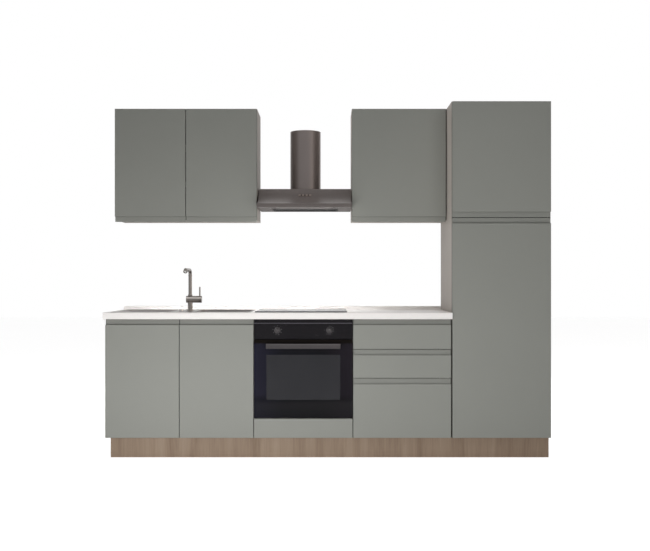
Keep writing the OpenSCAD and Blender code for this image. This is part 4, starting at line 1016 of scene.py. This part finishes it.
def blade(middle, turn, reach, tall):
    """One forward-curved blade of the blower wheel."""
    loops = []
    for z in (0.0025, tall - 0.0005):
        outline = []
        for side, steps in ((1, range(6)), (-1, range(5, -1, -1))):
            for step in steps:
                share = step / 5
                radius = reach - 0.0155 + 0.0140 * share
                lean = turn + 0.10 * share * share
                along = Vector((math.cos(lean), math.sin(lean), 0))
                across = Vector((-math.sin(lean), math.cos(lean), 0))
                outline.append(middle + radius * along + 0.0005 * side * across + Vector((0, 0, z)))
        loops.append(outline)
    return skin(loops)


def fan():
    """The blower wheel: a dished disc, a hub, forward-curved blades and a rim ring."""
    low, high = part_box("hood_fan")
    middle = Vector(((low.x + high.x) / 2, (low.y + high.y) / 2, low.z))
    reach, tall = (high.x - low.x) / 2, high.z - low.z
    bore, count = 0.0055, 24
    disc = [(0.0, bore), (0.0, reach - 0.0004), (0.0012, reach), (0.003, reach), (0.003, 0.030),
            (0.006, 0.018), (0.007, 0.013), (0.0238, 0.0125), (0.0244, 0.0115), (0.0244, bore), (0.0, bore)]
    ring = [(tall - 0.004, reach - 0.0012), (tall - 0.004, reach - 0.0001), (tall, reach - 0.0001),
            (tall, reach - 0.0012), (tall - 0.004, reach - 0.0012)]
    blades = [blade(middle, 2 * math.pi * i / count, reach, tall) for i in range(count)]
    solids = [turned(middle, UP, disc, 56), *blades, turned(middle, UP, ring, 56)]
    piece("fan_wheel", solids, "black_plastic", "hood_fan", replaced=["hood_fan"])


def motor():
    """The motor's can with cooling ribs on the CAD bracket."""
    dress("hood_motor", "motor")
    low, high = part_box("hood_motor")
    place = Matrix.Translation(((low.x + high.x) / 2, (low.y + high.y) / 2, low.z - 0.017))
    count = 16
    ribs = []
    for i in range(count):
        spin = Matrix.Rotation(2 * math.pi * i / count, 4, "Z")
        ribs.append(moved(block((0.034, -0.001, 0.022), (0.0375, 0.001, 0.040)), place @ spin))
    piece("motor_ribs", ribs, "motor", "kitchen", SHEET_EDGE, 1)


def lamps():
    """Frosted lenses in plated rings."""
    lens = [(0.0012, 0.001), (0.0006, 0.012), (0.0004, 0.020), (0.0008, 0.0245), (0.0115, 0.0245),
            (0.0115, 0.001)]
    ring = [(0.0, 0.0262), (0.0, 0.0288), (0.0008, 0.0298), (0.0030, 0.0298), (0.0034, 0.0338),
            (0.0060, 0.0338), (0.0062, 0.0262), (0.0, 0.0262)]
    lenses, rings = [], []
    for solid in solids_of("hood_lamps"):
        low, high = limits(solid)
        base = Vector(((low.x + high.x) / 2, (low.y + high.y) / 2, low.z))
        lenses.append(turned(base, UP, lens, 36))
        rings.append(turned(base, UP, ring, 36))
    piece("lamp_lenses", lenses, "lamp", "kitchen", replaced=["hood_lamps"])
    piece("lamp_rings", rings, "fitting", "kitchen")


def filter_frame():
    """The filter's mesh in its frame, with a pull at its front."""
    dress("hood_filter", "filter")
    low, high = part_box("hood_filter")
    place = ((low.x + high.x) / 2, low.y + 0.006, low.z + 0.0005)
    pull = turned(place, UP, [(0, 0.0035), (0.0003, 0.0045), (0.003, 0.0045)], 20)
    piece("filter_pull", [pull], "fitting", "hood_filter")


def hood():
    dress("hood_canopy", "hood", 0.0012, 3)
    dress("hood_chimney", "chimney", FINE_EDGE)
    filter_frame()
    fan()
    motor()
    lamps()
    dress("hood_switch_plate", "plate", SHEET_EDGE)
    for name in ("light", "slow", "fast"):
        dress("hood_button_" + name, "dark_plastic", SHEET_EDGE)


# Studio
CAMERA_PLACE = (0.004, -5.966, 1.094)
LENS, SENSOR = 52.2, 36.0
SHIFT = (-0.0048, 0.0038)
WORLD_FILL = 0.103
FLOOR_LIFT = 0.86


def camera():
    data = bpy.data.cameras.new("camera")
    data.lens, data.sensor_width = LENS, SENSOR
    data.shift_x, data.shift_y = SHIFT
    made = bpy.data.objects.new("camera", data)
    made.location = CAMERA_PLACE
    made.rotation_euler = (math.radians(90), 0, 0)
    bpy.context.scene.collection.objects.link(made)
    bpy.context.scene.camera = made


def lamp(name, place, target, size, power, colour=(1, 1, 1)):
    data = bpy.data.lights.new(name, "AREA")
    data.shape, data.size, data.size_y = "RECTANGLE", *size
    data.energy, data.color = power, colour
    made = bpy.data.objects.new(name, data)
    made.location = place
    aim = Vector(target) - Vector(place)
    made.rotation_euler = aim.to_track_quat("-Z", "Y").to_euler()
    made.visible_camera = made.visible_glossy = False
    bpy.context.scene.collection.objects.link(made)


def ray_is(finish, *kinds):
    """1 for a ray of one of these kinds, and 0 for any other."""
    total = 0.0
    for kind in kinds:
        total = finish.node("ShaderNodeLightPath", output=f"Is {kind} Ray") + total
    return finish.node("ShaderNodeClamp", None, {0: total})


def surroundings():
    """White behind the kitchen, and a dimmer room on the camera's side for gloss to show."""
    world = bpy.data.worlds.new("studio")
    bpy.context.scene.world = world
    finish = Finish("studio", owner=world)
    sky = finish.tree.nodes["Background"]
    place = finish.node("ShaderNodeTexCoord", output="Generated")
    right, depth, height = [finish.part(place, axis) for axis in "XYZ"]
    room = finish.shade(depth, (0.0, 0.60), (0.25, 0.42), (0.5, 0.14), (0.66, 0.22), (0.78, 1.0))
    sides = finish.ramp(right, [(0.25, grey(0.8)), (0.5, grey(0.9)), (0.72, (1.3, 1.25, 1.2, 1)),
                                (0.95, (2.7, 2.4, 2.2, 1))])
    above = finish.shade(height, (0.5, 1.0), (0.78, 5.0), (0.9, 1.8), (0.99, 0.3))
    room = finish.mix(1.0, finish.mix(1.0, room, sides, "MULTIPLY"), above, "MULTIPLY")
    shown = finish.mix(ray_is(finish, "Camera"), room, grey(1.0))
    plain = ray_is(finish, "Camera", "Glossy", "Transmission")
    finish.plug(sky.inputs["Color"], finish.mix(plain, grey(WORLD_FILL), shown))


def floor():
    """A wide plane that looks white to the camera and keeps the kitchen's shadow."""
    half = 20.0
    mesh = bpy.data.meshes.new("floor")
    mesh.from_pydata([(-half, -half, 0), (half, -half, 0), (half, half, 0), (-half, half, 0)],
                     [], [(0, 1, 2, 3)])
    made = bpy.data.objects.new("floor", mesh)
    bpy.context.scene.collection.objects.link(made)
    finish = Finish("floor", 0.9, 0, 0.1)
    dust = finish.noise(0.8, 2)
    lift = finish.mix(ray_is(finish, "Glossy", "Transmission"), grey(FLOOR_LIFT), grey(0.12))
    pale = finish.mix(dust, grey(0.84), grey(0.86))
    seen = ray_is(finish, "Camera", "Glossy", "Transmission")
    finish.put({"Base Color": finish.mix(ray_is(finish, "Glossy"), pale, grey(0.55)),
                "Emission Strength": 1.0, "Emission Color": finish.mix(seen, grey(0.0), lift)})
    mesh.materials.append(finish.owner)


def studio():
    camera()
    surroundings()
    floor()
    lamp("low_key", (-0.85, -2.9, 0.45), (-0.6, 0, 0.40), (2.4, 0.7), 28)
    lamp("low_right", (1.1, -2.9, 0.45), (1.0, 0, 0.40), (1.8, 0.7), 13.8)
    lamp("near_left", (-0.9, -1.5, 0.30), (-0.9, 0, 0.50), (1.8, 0.4), 5.0)
    lamp("high_right", (1.3, -3.0, 2.6), (1.0, 0, 1.9), (1.5, 0.8), 10.4)
    lamp("left_side", (-9.0, -1.0, 1.6), (0, 0.1, 1.4), (3.0, 3.0), 90)
    lamp("worktop_fill", (-0.55, -0.05, 1.25), (-0.55, 0.30, 0.90), (1.5, 0.08), 6.0)
    lamp("hood_top", (-0.43, 0.02, 2.7), (0.15, 0.10, 1.7), (0.10, 0.3), 3.6, (1.0, 0.97, 0.98))
    lamp("above", (0, 0.3, 6.0), (0, 0.2, 2.0), (3.0, 1.2), 45)
    lamp("hood_under", (-0.15, -0.06, 1.05), (-0.15, -0.30, 1.50), (0.4, 0.08), 2.8)
    lamp("back", (0, 4.5, 1.1), (0, 0, 1.1), (3.0, 2.0), 80)
    lamp("right_side", (9.0, 0.6, 1.4), (1.3, 0.0, 1.2), (3.0, 3.0), 230)
    bpy.context.scene.view_settings.view_transform = "Standard"


studio()
make_finishes()
cabinets()
fronts()
worktop_and_sink()
hob()
oven()
hood()
